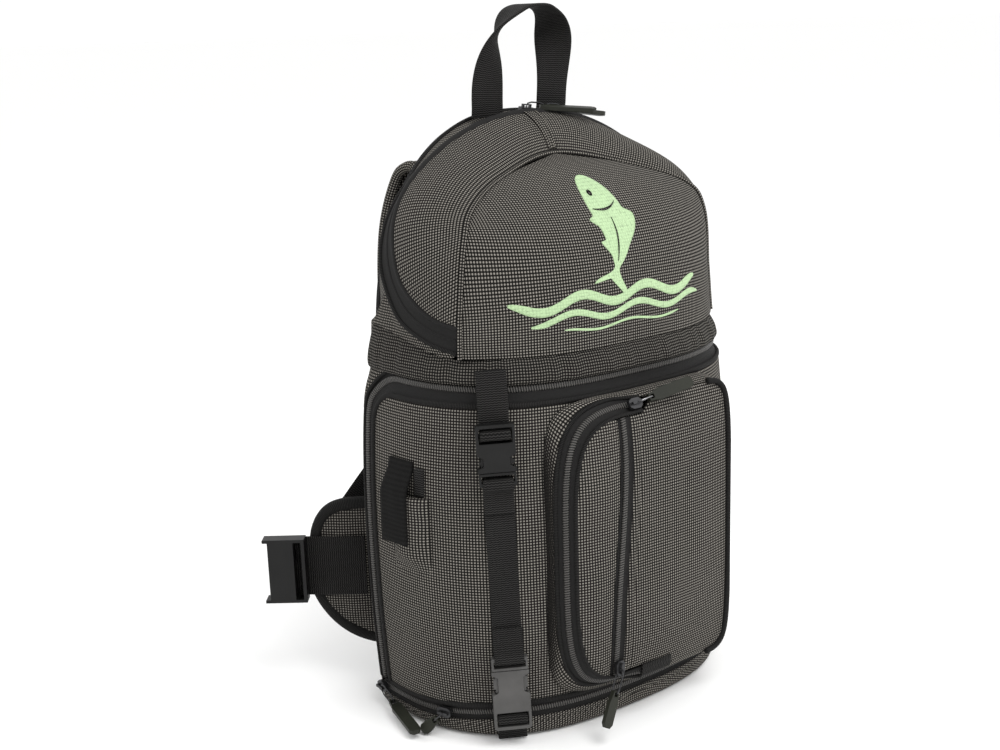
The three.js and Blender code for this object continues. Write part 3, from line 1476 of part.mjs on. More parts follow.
function shoulderWeb() {
  const path = [webStart, webStart.clone().lerp(webEnd, 0.5).add(vec(0, 2.5, 0)), webEnd];
  const curve = new THREE.CatmullRomCurve3(path);
  const rows = Array.from({ length: 9 }, (_, k) => {
    const at = curve.getPointAt(k / 8);
    const run = curve.getTangentAt(k / 8);
    const across = mix(0, 1, k / 8);
    const facing = vec(0, 1, 0).lerp(wingOut.clone().negate(), across).normalize();
    const side = run.clone().cross(facing).normalize();
    const up = side.clone().cross(run).normalize();
    return [-1, 1].map((face) => [-0.5, 0.5].map((share) => (
      at.clone().addScaledVector(side, share * shoulder.webWidth).addScaledVector(up, face * 0.9))));
  });
  return slab(rows.map((row) => row[0]), rows.map((row) => row[1]));
}
addPair('shoulder_webbing', shoulderWeb(), 'webbing');

export default group;
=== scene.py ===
# A fishing backpack that stands on its base: woven cloth, zips, webbing, buckles and pads, made on the packed
# frame. Lengths are worked out in millimetres and go into the meshes in metres.
import bpy
import bmesh
import json
import math
import numpy as np
from mathutils import Matrix, Vector

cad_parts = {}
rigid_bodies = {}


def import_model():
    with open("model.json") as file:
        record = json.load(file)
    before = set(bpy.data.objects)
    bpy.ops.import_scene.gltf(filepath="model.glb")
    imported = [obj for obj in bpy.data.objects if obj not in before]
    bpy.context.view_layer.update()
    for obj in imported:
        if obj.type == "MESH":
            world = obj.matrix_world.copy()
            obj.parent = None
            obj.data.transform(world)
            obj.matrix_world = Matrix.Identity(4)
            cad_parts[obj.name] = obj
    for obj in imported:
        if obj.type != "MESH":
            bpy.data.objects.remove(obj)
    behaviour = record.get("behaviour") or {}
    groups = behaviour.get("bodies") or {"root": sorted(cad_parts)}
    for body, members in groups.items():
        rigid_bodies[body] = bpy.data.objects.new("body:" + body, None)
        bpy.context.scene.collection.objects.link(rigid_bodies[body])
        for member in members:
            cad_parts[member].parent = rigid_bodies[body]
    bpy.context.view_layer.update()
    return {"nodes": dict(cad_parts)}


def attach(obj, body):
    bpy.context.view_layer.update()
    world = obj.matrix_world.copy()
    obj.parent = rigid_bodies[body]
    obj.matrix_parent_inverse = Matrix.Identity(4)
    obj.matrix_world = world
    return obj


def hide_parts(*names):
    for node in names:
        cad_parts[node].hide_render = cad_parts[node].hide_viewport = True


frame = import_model()
print("frame: loaded")

# ---- camera, floor and light
cameraSetup = {"place": (-0.6817, -0.8358, 0.5298), "looks": (0.579, 0.777, -0.247), "roll": 1.9, "lens": 50.4}
studio = {"floor": (0.96, 0.96, 0.955), "sky": 1.04, "middle": (0, 0, 0.25)}
# place, power and size of each lamp
lamps = {"key": ((0.05, -1.3, 2.1), 28, 1.2), "fill": ((1.5, -1.2, 0.9), 8, 1.5), "rim": ((-1.0, 1.4, 1.3), 7, 1.2)}


def addObject(name, data):
    thing = bpy.data.objects.new(name, data)
    bpy.context.scene.collection.objects.link(thing)
    return thing


def aim(thing, place, way, roll=0.0):
    turn = Vector(way).to_track_quat("-Z", "Y").to_matrix().to_4x4() @ Matrix.Rotation(math.radians(-roll), 4, "Z")
    thing.matrix_world = Matrix.Translation(place) @ turn


camera = addObject("camera", bpy.data.cameras.new("camera"))
camera.data.lens, camera.data.sensor_width = cameraSetup["lens"], 36
aim(camera, cameraSetup["place"], cameraSetup["looks"], cameraSetup["roll"])
bpy.context.scene.camera = camera
for name, (place, power, size) in lamps.items():
    lamp = addObject(name, bpy.data.lights.new(name, "AREA"))
    lamp.data.energy, lamp.data.size = power, size
    aim(lamp, place, Vector(studio["middle"]) - Vector(place))
world = bpy.data.worlds.new("studio")
world.use_nodes = True
world.node_tree.nodes["Background"].inputs[0].default_value = (1, 1, 1, 1)
world.node_tree.nodes["Background"].inputs[1].default_value = studio["sky"]
bpy.context.scene.world = world
bpy.context.scene.view_settings.view_transform = "Standard"
print("camera and light: made")


# ---- materials
# Adds a node, sets each input to a socket or a value, and gives back the node's outputs.
def addNode(tree, kind, inputs, **settings):
    node = tree.nodes.new(kind)
    for key, value in settings.items():
        setattr(node, key, value)
    for key, value in inputs.items():
        if isinstance(value, bpy.types.NodeSocket):
            tree.links.new(value, node.inputs[key])
        else:
            node.inputs[key].default_value = value
    return list(node.outputs)


def shaderInput(tree, key):
    return tree.nodes["Principled BSDF"].inputs[key]


def newMaterial(name, colour, roughness, metallic=0.0, shine=0.5):
    material = bpy.data.materials.new(name)
    material.use_nodes = True
    values = {"Base Color": (*colour, 1), "Roughness": roughness, "Metallic": metallic, "Specular IOR Level": shine}
    for key, value in values.items():
        shaderInput(material.node_tree, key).default_value = value
    return material, material.node_tree


# One step of arithmetic on a socket and further sockets or numbers.
def calc(operation, *values):
    return addNode(values[0].id_data, "ShaderNodeMath", dict(enumerate(values)), operation=operation)[0]


def timesPlus(value, factor, plus=0.0):
    return calc("MULTIPLY_ADD", value, factor, plus)


# Sine of a place, once round for each pitch.
def wave(place, pitch, shift=0.0):
    return calc("SINE", timesPlus(place, 2 * math.pi / pitch, shift))


def objectPlace(tree, turn=0.0):
    place = addNode(tree, "ShaderNodeTexCoord", {})[3]
    return addNode(tree, "ShaderNodeMapping", {"Vector": place, "Rotation": (0, 0, turn)})[0]


def split(vector):
    return addNode(vector.id_data, "ShaderNodeSeparateXYZ", {0: vector})


# Across and up on the flat cut of a piece.
def cutPlace(tree):
    return split(addNode(tree, "ShaderNodeUVMap", {}, uv_map="cut")[0])[:2]


def noise(place, scale, detail=2.0):
    return addNode(place.id_data, "ShaderNodeTexNoise", {"Vector": place, "Scale": scale, "Detail": detail})[0]


# Stops of a colour ramp: each is a place on it and a share of the colour.
def shades(colour, *stops):
    return [(at, [min(1, share * c) for c in colour]) for at, share in stops]


# Colours from stops along a tone, and bumps from a height.
def finish(tone, stops, height, depth, strength):
    tree = tone.id_data
    colours = tree.nodes.new("ShaderNodeValToRGB")
    marks = colours.color_ramp.elements
    while len(marks) < len(stops):
        marks.new(0.5)
    for mark, (at, colour) in zip(marks, stops):
        mark.position = at
        mark.color = (*colour, 1)
    tree.links.new(tone, colours.inputs[0])
    tree.links.new(colours.outputs[0], shaderInput(tree, "Base Color"))
    bump = addNode(tree, "ShaderNodeBump", {"Strength": strength, "Distance": depth, "Height": height})[0]
    tree.links.new(bump, shaderInput(tree, "Normal"))


weave = {"pitch": 0.0022, "dark": (0.006, 0.0055, 0.005), "mid": (0.027, 0.0245, 0.0215), "light": (0.235, 0.22, 0.195),
         "bump": 0.0004, "roughness": 0.86}


# One float of the weave: height |sin(pi u)| * |sin(pi v)| over each repeat.
def beads(across, up):
    return timesPlus(*(calc("ABSOLUTE", wave(way, 2 * weave["pitch"])) for way in (across, up)))


# Two-tone weave: each float is a rounded bead, and fine threads run across it; the beads are pale and the ground
# between them is charcoal.
def weaveMaterial(name, turn=None, shade=1.0, paintedShadeLine=None):
    material, tree = newMaterial(name, weave["mid"], weave["roughness"], shine=0.12)
    bead = beads(*(cutPlace(tree) if turn is None else split(objectPlace(tree, turn))[::2]))
    place = objectPlace(tree)
    grain = noise(place, 900)
    tone = timesPlus(bead, timesPlus(grain, 0.5, 0.75), -0.08)
    tone = timesPlus(noise(place, 9, 3), 0.16, tone)
    if paintedShadeLine is not None:
        # painted shade: darker past a line on the left, fading in over a few millimetres, for the shade on the gusset's
        # left-facing side
        dim = timesPlus(split(place)[0], 70, -70 * paintedShadeLine)
        tone = timesPlus(tone, calc("MINIMUM", calc("MAXIMUM", dim, 0.52), 1.0))
    stops = [(at, [shade * c for c in weave[key]]) for at, key in ((0.3, "dark"), (0.5, "mid"), (0.82, "light"))]
    finish(tone, stops, timesPlus(grain, 0.35, bead), weave["bump"], 0.9)
    return material


# Ribbed webbing: ribs run across at an even pitch, broken into columns that are half a rib out of step.
def webbingMaterial(name, colour, ribPitch=0.0017, columnPitch=0.0028, depth=0.0005):
    material, tree = newMaterial(name, colour, 0.72, shine=0.12)
    across, up = cutPlace(tree)
    step = timesPlus(wave(across, columnPitch), 0.9)
    rib = timesPlus(wave(up, ribPitch, step), 0.5, 0.5)
    place = objectPlace(tree)
    fuzz = noise(place, 1500, 3)
    tone = timesPlus(fuzz, 0.35, timesPlus(rib, 0.65, -0.15))
    tone = timesPlus(noise(place, 14), 0.3, tone)
    finish(tone, shades(colour, (0.2, 0.2), (0.5, 1), (0.8, 4.2)), timesPlus(fuzz, 0.3, rib), depth, 0.9)
    return material


# Fine twill tape: slanting threads under a millimetre apart.
def tapeMaterial(name, colour, pitch=0.0009):
    material, tree = newMaterial(name, colour, 0.78, shine=0.22)
    across, up = cutPlace(tree)
    thread = wave(calc("ADD", across, up), pitch)
    tone = timesPlus(thread, 0.2, noise(objectPlace(tree), 1200, 3))
    finish(tone, shades(colour, (0.2, 0.6), (0.8, 1.7)), tone, 0.0002, 0.8)
    return material


# Moulded parts: a fine orange-peel skin, with slow changes of gloss from handling.
def mouldedMaterial(name, colour, roughness, metallic=0.0, grainSize=1400, depth=0.00006, shine=0.5):
    material, tree = newMaterial(name, colour, roughness, metallic, shine)
    place = objectPlace(tree)
    rub = noise(place, 60, 4)
    tree.links.new(timesPlus(rub, 0.22, roughness - 0.11), shaderInput(tree, "Roughness"))
    finish(rub, shades(colour, (0.3, 0.8), (0.7, 1.2)), noise(place, grainSize), depth, 0.7)
    return material


# Spacer mesh: small round holes in a knitted ground, from cells of nearly even size.
def meshMaterial(name, colour, cells=420):
    material, tree = newMaterial(name, colour, 0.9, shine=0.15)
    place = objectPlace(tree)
    holes = addNode(tree, "ShaderNodeTexVoronoi", {"Vector": place, "Scale": cells, "Randomness": 0.25})[0]
    tone = timesPlus(noise(place, 1600), 0.25, holes)
    finish(tone, shades(colour, (0.25, 0.35), (0.45, 1), (0.8, 1.8)), tone, 0.0009, 0.9)
    return material


# Hook-and-loop webbing: short matted pile with cross creases.
def pileMaterial(name, colour, creasePitch=0.0034):
    material, tree = newMaterial(name, colour, 0.92, shine=0.12)
    tone = timesPlus(wave(cutPlace(tree)[1], creasePitch), 0.12, noise(objectPlace(tree), 2200, 4))
    finish(tone, shades(colour, (0.25, 0.5), (0.8, 1.9)), tone, 0.0005, 1.0)
    return material


# Zip coil: fine slanting turns of nylon, one for each pitch of its length, with dark gaps between them.
def coilMaterial(name, pitch=0.0019, slant=0.012):
    material, tree = newMaterial(name, (0.03, 0.03, 0.03), 0.4, shine=0.3)
    across, up = cutPlace(tree)
    turn = timesPlus(wave(across, slant, timesPlus(up, 2 * math.pi / pitch)), 0.5, 0.5)
    finish(turn, [(0.3, (0.003, 0.003, 0.003)), (0.8, (0.085, 0.08, 0.074))], turn, 0.0006, 1.0)
    return material


# Screen print on the weave: the ink keeps the beads of the cloth under it, and thins on top of them.
def printMaterial(name, colour):
    material, tree = newMaterial(name, colour, 0.6)
    place = objectPlace(tree)
    bead = beads(*split(place)[::2])
    tone = timesPlus(bead, 0.45, noise(place, 500, 3))
    finish(tone, shades(colour, (0.3, 0.62), (0.62, 1), (1.0, 1.12)), bead, 0.0003, 0.7)
    return material


# A look is a material and a slot name; only the material is put on a piece.
cloth = weaveMaterial("charcoal_weave"), "weave"
# painted shade: the collar's weave is darkened to 0.58 for the shade that falls under the lid's bulge
collarShadedCloth = weaveMaterial("collar_painted_shade_weave", shade=0.58), "weave"
# painted shade: the left-facing side of the pocket's gusset is darkened for the shade that falls there
pocketSideShadedCloth = weaveMaterial("pocket_side_painted_shade_weave", paintedShadeLine=-0.0935), "weave"
shoulderCloth = weaveMaterial("shoulder_weave", 0.8, 0.8), "weave"
blackWeb = webbingMaterial("black_webbing", (0.0072, 0.0069, 0.0066)), "webbing"
blackTape = tapeMaterial("black_zip_tape", (0.0075, 0.0072, 0.007)), "zip_tape"
blackBinding = webbingMaterial("black_binding", (0.0055, 0.0053, 0.0051), 0.0012, 0.006, 0.0002), "binding"
coilNylon = coilMaterial("coil_nylon"), "zip_tape"
blackPlastic = mouldedMaterial("black_moulding", (0.0068, 0.0067, 0.0066), 0.38, shine=0.2), "buckle_black"
greyPlastic = mouldedMaterial("grey_moulding", (0.062, 0.06, 0.058), 0.4, shine=0.35), "buckle_grey"
sliderMetal = mouldedMaterial("blackened_metal", (0.045, 0.045, 0.047), 0.34, 0.85), "slider_metal"
bareMetal = mouldedMaterial("bare_link", (0.2, 0.2, 0.205), 0.33, 0.9)
pullRubber = mouldedMaterial("soft_rubber", (0.0145, 0.0155, 0.0105), 0.5, 0.0, 700, 0.0002, 0.22), "pull_rubber"
hookTape = pileMaterial("pile_tape", (0.0062, 0.006, 0.0058)), "hook_tape"
spacerMesh = meshMaterial("spacer_mesh", (0.0115, 0.0115, 0.012)), "spacer_mesh"
greenPrint = printMaterial("pale_print", (0.35, 0.49, 0.27)), "weave"
print("materials: made")


# ---- tools for surfaces
rng = np.random.default_rng(11)


# Value of one column at given shares, on a smooth curve through the rows: cubic pieces whose slopes come from
# the rows on either side.
def follow(rows, at, column):
    table = np.array(rows, float)
    x, y = table[:, 0], table[:, column]
    slope = np.empty(len(x))
    slope[1:-1] = (y[2:] - y[:-2]) / (x[2:] - x[:-2])
    slope[0] = (y[1] - y[0]) / (x[1] - x[0])
    slope[-1] = (y[-1] - y[-2]) / (x[-1] - x[-2])
    at = np.asarray(at, float)
    k = np.clip(np.searchsorted(x, at, side="right") - 1, 0, len(x) - 2)
    span = x[k + 1] - x[k]
    t = np.clip((at - x[k]) / span, 0, 1)
    start = (1 + 2 * t) * (1 - t) ** 2 * y[k] + t * (1 - t) ** 2 * span * slope[k]
    end = t * t * (3 - 2 * t) * y[k + 1] + t * t * (t - 1) * span * slope[k + 1]
    return start + end


def smooth(low, high, value):
    share = np.clip((value - low) / (high - low), 0, 1)
    return share * share * (3 - 2 * share)


def mix(a, b, share):
    return a + (b - a) * share


def signed(value, power):
    return np.sign(value) * np.abs(value) ** power


# A bell of height 1 with its middle at 0.
def bell(value, width):
    return np.exp(-(value / width) ** 2)


def unit(v):
    return v / np.maximum(np.linalg.norm(v, axis=-1, keepdims=True), 1e-12)


def grid(rows, columns):
    return np.meshgrid(np.linspace(0, 1, rows), np.linspace(0, 1, columns), indexing="ij")


# Places as points: x, y and z, or across and up, side by side.
def points(*parts):
    return np.stack(np.broadcast_arrays(*parts), -1).astype(float)


# Length of a path up to each of its points.
def runTo(path):
    return np.concatenate([[0], np.cumsum(np.linalg.norm(np.diff(path, axis=0), axis=1))])


# Length of a grid's lines, added up along one axis, in metres.
def runAlong(surface, axis):
    step = np.linalg.norm(np.diff(surface, axis=axis), axis=-1)
    pad = [(0, 0), (0, 0)]
    pad[axis] = (1, 0)
    return np.cumsum(np.pad(step, pad), axis=axis) / 1000


# Cut map of a small grid from its own lengths.
def ownCut(surface):
    return points(runAlong(surface, 1), runAlong(surface, 0))


# The filled lid leans a little to the right of the bag.
leanSetup = {"start": 300, "top": 462, "by": 11, "power": 1.3}


def leaning(surface):
    share = np.clip((surface[..., 2] - leanSetup["start"]) / (leanSetup["top"] - leanSetup["start"]), 0, 1)
    moved = surface.copy()
    moved[..., 0] += leanSetup["by"] * share ** leanSetup["power"]
    return moved


def quads(rows, columns):
    i, j = np.meshgrid(np.arange(rows - 1), np.arange(columns - 1), indexing="ij")
    a = i * columns + j
    return np.stack([a, a + columns, a + columns + 1, a + 1], -1).reshape(-1, 4)


# Faces of two grids back to back, with strips round their edges.
def closedFaces(rows, columns):
    count = rows * columns
    front = quads(rows, columns)
    ids = np.arange(count).reshape(rows, columns)
    faces = [front, front[:, ::-1] + count]
    for edge in (ids[:, 0], ids[::-1, -1], ids[0, ::-1], ids[-1, :]):
        faces.append(np.stack([edge[:-1], edge[:-1] + count, edge[1:] + count, edge[1:]], -1))
    return np.concatenate(faces)


def edited(mesh, work):
    form = bmesh.new()
    form.from_mesh(mesh)
    work(form)
    form.to_mesh(mesh)
    form.free()


# Every piece is shaded smooth, rides on the one body, and stands for the named nodes of the frame.
def dress(piece, stands):
    piece.data.polygons.foreach_set("use_smooth", np.ones(len(piece.data.polygons), bool))
    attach(piece, "root")
    if stands:
        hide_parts(*stands.split())
    return piece


# Puts points and four-sided faces into one mesh object; cut holds the flat place of each point in metres.
def makePiece(name, surface, faces, cut, look, stands="", lean=True):
    surface = np.asarray(surface, float).reshape(-1, 3)
    surface = leaning(surface) if lean else surface
    a, b, c, d = (surface[faces[:, k]] for k in range(4))
    if np.sum(a * np.cross(b, c)) + np.sum(a * np.cross(c, d)) < 0:
        faces = faces[:, ::-1]
    mesh = bpy.data.meshes.new(name)
    mesh.from_pydata((surface / 1000).tolist(), [], faces.tolist())
    layer = mesh.uv_layers.new(name="cut")
    layer.data.foreach_set("uv", np.asarray(cut, float).reshape(-1, 2)[faces.ravel()].ravel())
    edited(mesh, lambda form: bmesh.ops.remove_doubles(form, verts=form.verts, dist=2e-6))
    mesh.materials.append(look[0])
    return dress(addObject(name, mesh), stands)


# A closed cloth: the surface and a second one a thickness behind it.
def makeCloth(name, outer, cut, thickness, look, behind, stands="", lean=True):
    both = np.concatenate([outer.reshape(-1, 3), (outer + behind * thickness).reshape(-1, 3)])
    flat = np.concatenate([np.asarray(cut).reshape(-1, 2)] * 2)
    return makePiece(name, both, closedFaces(*outer.shape[:2]), flat, look, stands, lean)


# A closed body carried along a path: each point is centre + side * a + up * b for the points (a, b) of its
# profile, which may change along the path.
def carry(name, centre, side, up, profile, look, stands="", lean=True):
    if profile.ndim == 2:
        profile = np.broadcast_to(profile, (len(centre), *profile.shape))
    profile = np.concatenate([profile, profile[:, :1]], axis=1)
    ring = centre[:, None] + side[:, None] * profile[..., :1] + up[:, None] * profile[..., 1:]
    ends = [np.broadcast_to(end, ring[:1].shape) for end in (centre[:1, None], centre[-1:, None])]
    ring = np.concatenate([ends[0], ring, ends[1]])
    along = np.max(runAlong(ring, 0), axis=1, keepdims=True)
    return makePiece(name, ring, quads(*ring.shape[:2]), points(runAlong(ring, 1), along), look, stands, lean)


def roundProfile(radius, count=10, flat=1.0):
    angle = np.arange(count) / count * 2 * math.pi
    return points(np.cos(angle) * radius, np.sin(angle) * radius * flat)


# Flat band with rounded edges.
def bandProfile(width, thickness):
    half, r = width / 2, thickness / 2
    angle = np.linspace(-math.pi / 2, math.pi / 2, 5)
    right = points(half - r + r * np.cos(angle), r * np.sin(angle))
    top = points(np.linspace(half - r, -half + r, 7)[1:-1], r)
    return np.concatenate([right, top, -right, -top])


def runOf(path):
    return unit(np.gradient(path, axis=0))


# The same path with its points spaced evenly.
def evenly(path, count):
    run = runTo(path)
    return np.stack([np.interp(np.linspace(0, run[-1], count), run, column) for column in path.T], -1)


# A smooth path through a few points: cubic pieces with slopes from their neighbours, then evened out.
def throughPoints(marks, count):
    rows = np.column_stack([runTo(np.asarray(marks, float)), marks])
    at = np.linspace(0, rows[-1, 0], count * 4)
    return evenly(np.stack([follow(rows, at, k + 1) for k in range(rows.shape[1] - 1)], -1), count)


# A few waves of set directions and seeded phases, added up: soft folds of cloth.
def folds(s, z, length, count=6, slant=0.5):
    height = np.zeros(np.broadcast(s, z).shape)
    for k in range(count):
        turn = rng.uniform(-slant, slant)
        scale = 2 * math.pi / (length * rng.uniform(0.6, 1.6))
        height = height + np.sin((s * math.cos(turn) + z * math.sin(turn)) * scale + rng.uniform(0, 6.28)) / count
    return height


# Lift of sewn cloth: folds that fade over a reach towards its edges, and a dip into the seam there.
def sewn(gap, fold, reach, dip, width):
    return fold * smooth(0, reach, gap) - dip * bell(gap, width)


# Rolled seam: a rod that follows a path, sunk a little between two panels.
def rolledSeam(name, path, outward, radius, sink, look, squeeze=1.0, stands=""):
    side = unit(np.cross(runOf(path), outward))
    carry(name, path - outward * sink, side, unit(outward), roundProfile(radius, 10, squeeze), look, stands)


# ---- the body of the bag
bag = {"height": 462, "halfWidth": 152, "frontDepth": 136, "rearLine": 45, "cornerPower": 2.75, "backDepth": 27,
       "backHalfWidth": 120, "rearPower": 2.2, "cloth": 2.2}
level = {"trayTop": 17, "flapBottom": 30, "footDrop": 7, "flapTop": 262.5, "zipTop": 281, "collarFront": 294,
         "collarRear": 309, "lidStart": 300}
seam = 0.3
backFace = bag["rearLine"] + bag["backDepth"]
# share of the height, half width and front depth as shares
girthRows = [(0, 0.965, 0.965), (0.037, 0.985, 0.985), (0.065, 0.995, 0.995), (0.2, 1.02, 1.025), (0.4, 1.025, 1.03),
             (0.556, 0.99, 1), (0.597, 0.945, 0.985), (0.65, 0.925, 0.955), (0.72, 0.92, 0.945)]
mirror = np.array([-1, 1, 1])

quarterTurn = np.linspace(0, math.pi / 2, 401)
quarterOut = np.abs(np.cos(quarterTurn)) ** (2 / bag["cornerPower"])
quarterFore = np.sin(quarterTurn) ** (2 / bag["cornerPower"])
quarterRun = runTo(points(quarterOut * bag["halfWidth"], quarterFore * bag["frontDepth"]))
halfRun = quarterRun[-1]


def halfWidthAt(z):
    return bag["halfWidth"] * follow(girthRows, z / bag["height"], 1)


def depthAt(z):
    return bag["frontDepth"] * follow(girthRows, z / bag["height"], 2)


# The outer wall: a quarter of |x/a|^p + |y/b|^p = 1 on each side, gone round at an even pace from -1 at the
# left rear line to 1 at the right one, and x = a - n * back^q past it; out is the distance off the wall.
def wall(along, z, out=0.0):
    along, z, out = np.broadcast_arrays(np.asarray(along, float), np.asarray(z, float), np.asarray(out, float))
    halfWidth, depth = halfWidthAt(z), depthAt(z)
    side = np.where(along < 0, -1.0, 1.0)
    run = np.clip(1 - np.abs(along), 0, 1) * halfRun
    across = np.interp(run, quarterRun, quarterOut) * side
    fore = np.interp(run, quarterRun, quarterFore)
    power = bag["cornerPower"] - 1
    normal = unit(points(signed(across, power) / halfWidth, -fore ** power / depth))
    x = across * halfWidth + normal[..., 0] * out
    y = bag["rearLine"] - fore * depth + normal[..., 1] * out
    back = np.clip((np.abs(along) - 1) * halfRun / bag["backDepth"], 0, 1)
    narrow = halfWidth - bag["backHalfWidth"]
    slope = narrow * bag["rearPower"] * back ** (bag["rearPower"] - 1) / bag["backDepth"]
    rear = unit(points(1.0, slope))
    past = np.abs(along) > 1
    x = np.where(past, side * (halfWidth - narrow * back ** bag["rearPower"] + rear[..., 0] * out), x)
    y = np.where(past, bag["rearLine"] + back * bag["backDepth"] + rear[..., 1] * out, y)
    return points(x, y, z)


# The wall at a flat place: length round it and height.
def onWall(flat, out=0.0):
    return wall(flat[..., 0] / halfRun, flat[..., 1], out)


def alongAt(x, z):
    table = np.linspace(0, 1, 2001)
    across = np.interp((1 - table) * halfRun, quarterRun, quarterOut) * halfWidthAt(z)
    return float(np.interp(abs(x), across, table))


def pastRear(y):
    return 1 + (y - bag["rearLine"]) / halfRun


# Direction from the cloth to the hollow inside it.
def inward(p):
    across = signed(p[..., 0] / bag["halfWidth"], bag["cornerPower"] - 1) / bag["halfWidth"]
    ahead = np.maximum(0, bag["rearLine"] - p[..., 1]) / bag["frontDepth"]
    behind = np.maximum(0, p[..., 1] - bag["rearLine"]) / bag["backDepth"]
    above = np.maximum(0, p[..., 2] - level["lidStart"]) / (bag["height"] - level["lidStart"])
    y = behind ** 1.2 * 0.0105 - ahead ** (bag["cornerPower"] - 1) / bag["frontDepth"]
    return unit(points(-across, -y, -(above ** 1.4) * 0.0085))


# Moves a surface off itself by a lift.
def raised(surface, lift, out=None):
    return surface + (-inward(surface) if out is None else out) * lift[..., None]


rearZip = {"width": 15, "ahead": 0.6}
wallEnd = pastRear(bag["rearLine"] + rearZip["width"] * (1 - rearZip["ahead"]))
flapEnd = 1 - rearZip["width"] * rearZip["ahead"] / halfRun


# The band at the foot of the flap comes down towards the sides.
def footDrop(along):
    return level["footDrop"] * smooth(0.45, 0.85, np.abs(along))


# ---- base tray
tray = {"edge": 6, "wall": 3, "middle": -8}


# One level of the tray: round the front along the wall, then straight across the back.
def trayRing(z, inset, share):
    around = np.concatenate([np.linspace(-1, 1, 181), np.linspace(1, pastRear(backFace), 10)[1:]])
    line = np.linspace(1, -1, 41)[1:-1] * (bag["backHalfWidth"] - inset)
    left = wall(np.linspace(-pastRear(backFace), -1, 10), z, -inset)
    loop = np.concatenate([wall(around, z, -inset), points(line, backFace - inset, z), left])
    drop = np.concatenate([footDrop(around), np.full(len(line) + len(left), level["footDrop"])])
    loop[:, 2] *= 1 - drop / level["trayTop"]
    loop[:, 0] *= share
    loop[:, 1] = mix(tray["middle"], loop[:, 1], share)
    return loop


trayRows = [(0, tray["edge"], s) for s in np.linspace(0, 1, 8)]
trayCorner = [(tray["edge"] * (1 - math.cos(a)), tray["edge"] * (1 - math.sin(a)), 1)
              for a in np.linspace(0.2, math.pi / 2, 7)]
trayRows += trayCorner
trayRows += [(z, inset, 1) for z, inset in ((8, 0), (10, 0), (11.4, 0), (12, 0.7), (12.6, 0.05), (14, 0), (16, 0))]
trayRows += [(level["trayTop"], 0, 1), (level["trayTop"], tray["wall"], 1), (tray["edge"], tray["wall"], 1)]
trayRows += [(tray["wall"], tray["wall"] + 3, s) for s in np.linspace(1, 0, 4)]
trayGrid = np.stack([trayRing(*row) for row in trayRows], 1)
trayCut = points(runAlong(trayGrid[:, 12:13], 0), runAlong(trayGrid, 1))
makePiece("tray_cloth", trayGrid, quads(*trayGrid.shape[:2]), trayCut, cloth, "base_tray", lean=False)
print("tray: made")

# ---- zips
zipSetup = {"recess": 1.2, "tape": 1.6, "coilWidth": 5.2, "coilRise": 1.9, "step": 2}


# Two tapes and a coil between two rails. The coil's top is an arch h * sin(a)^0.8 with a groove down its middle.
def makeZip(name, railA, railB, outward, stands, recess=zipSetup["recess"], offset=0.5, coilShare=1.0, teeth=coilNylon):
    shares = np.array([0, 0.04, 0.3, 0.5, 0.7, 0.96, 1])
    drop = np.array([0.2, 1, 1, 1, 1, 1, 0.2]) * recess
    tape = railA[:, None] + (railB - railA)[:, None] * shares[:, None] - outward[:, None] * drop[:, None]
    makeCloth(name + "_tape", tape, ownCut(tape), zipSetup["tape"], blackTape, -outward[:, None], stands)
    middle = mix(railA, railB, np.reshape(offset, (-1, 1))) - outward * (recess + 0.1)
    path = evenly(np.concatenate([middle, outward], axis=1), int(runTo(middle)[-1] / zipSetup["step"]))
    centre, up = path[:, :3], unit(path[:, 3:])
    angle = np.linspace(0, math.pi, 9)
    half = zipSetup["coilWidth"] / 2 * coilShare
    groove = 1 - 0.3 * bell(np.cos(angle), 0.2)
    arch = points(np.cos(angle) * half, zipSetup["coilRise"] * coilShare * np.sin(angle) ** 0.8 * groove)
    profile = np.concatenate([arch, [[-half * 0.8, -0.5], [half * 0.8, -0.5]]])
    carry(name + "_coil", centre, unit(np.cross(runOf(centre), up)), up, profile, teeth)


# Corner of the long zip on the flat wall: radius, centre, and reach of the outer rail.
corner = {"radius": 24, "steps": 60}
corner["s"], corner["z"] = flapEnd * halfRun - corner["radius"], level["flapTop"] - corner["radius"]
corner["outS"], corner["outZ"] = wallEnd * halfRun - corner["s"], level["zipTop"] - corner["z"]


def cornerArc(gapS, gapZ):
    turn = np.linspace(0, math.pi / 2, 26)
    return points(corner["s"] + gapS * np.cos(turn), corner["z"] + gapZ * np.sin(turn))


# Rail of the long zip, which runs up one side, round a corner, across the front and down again.
def railAt(gapS, gapZ):
    legs = np.linspace(level["flapBottom"] - level["footDrop"] + seam, corner["z"], corner["steps"])[:-1]
    line = np.linspace(corner["s"], 0, corner["steps"])[1:]
    front = points(line, corner["z"] + gapZ)
    halfPath = np.concatenate([points(corner["s"] + gapS, legs), cornerArc(gapS, gapZ), front])
    return np.concatenate([halfPath, halfPath[::-1][1:] * np.array([-1, 1])])


innerRail, outerRail = railAt(corner["radius"] + seam, corner["radius"] + seam), railAt(corner["outS"], corner["outZ"])
middleRail = mix(innerRail, outerRail, 0.5)
railOut = unit(onWall(middleRail, 1) - onWall(middleRail))
coilPlace = mix(0.72, 0.58, smooth(corner["z"], level["flapTop"], innerRail[:, 1]))
makeZip("frame_zip", onWall(innerRail), onWall(outerRail), railOut,
        "mid_zip rear_zip_left rear_zip_right", 2.0, coilPlace)

lowerAlong = np.linspace(-wallEnd, wallEnd, 200)
lowLine = level["trayTop"] + 2 * seam - footDrop(lowerAlong)
highLine = level["flapBottom"] - 2 * seam - footDrop(lowerAlong)
lowerOut = unit(wall(lowerAlong, 23, 1) - wall(lowerAlong, 23))
makeZip("foot_zip", wall(lowerAlong, lowLine), wall(lowerAlong, highLine), lowerOut, "lower_zip", 2.2, coilShare=0.85)

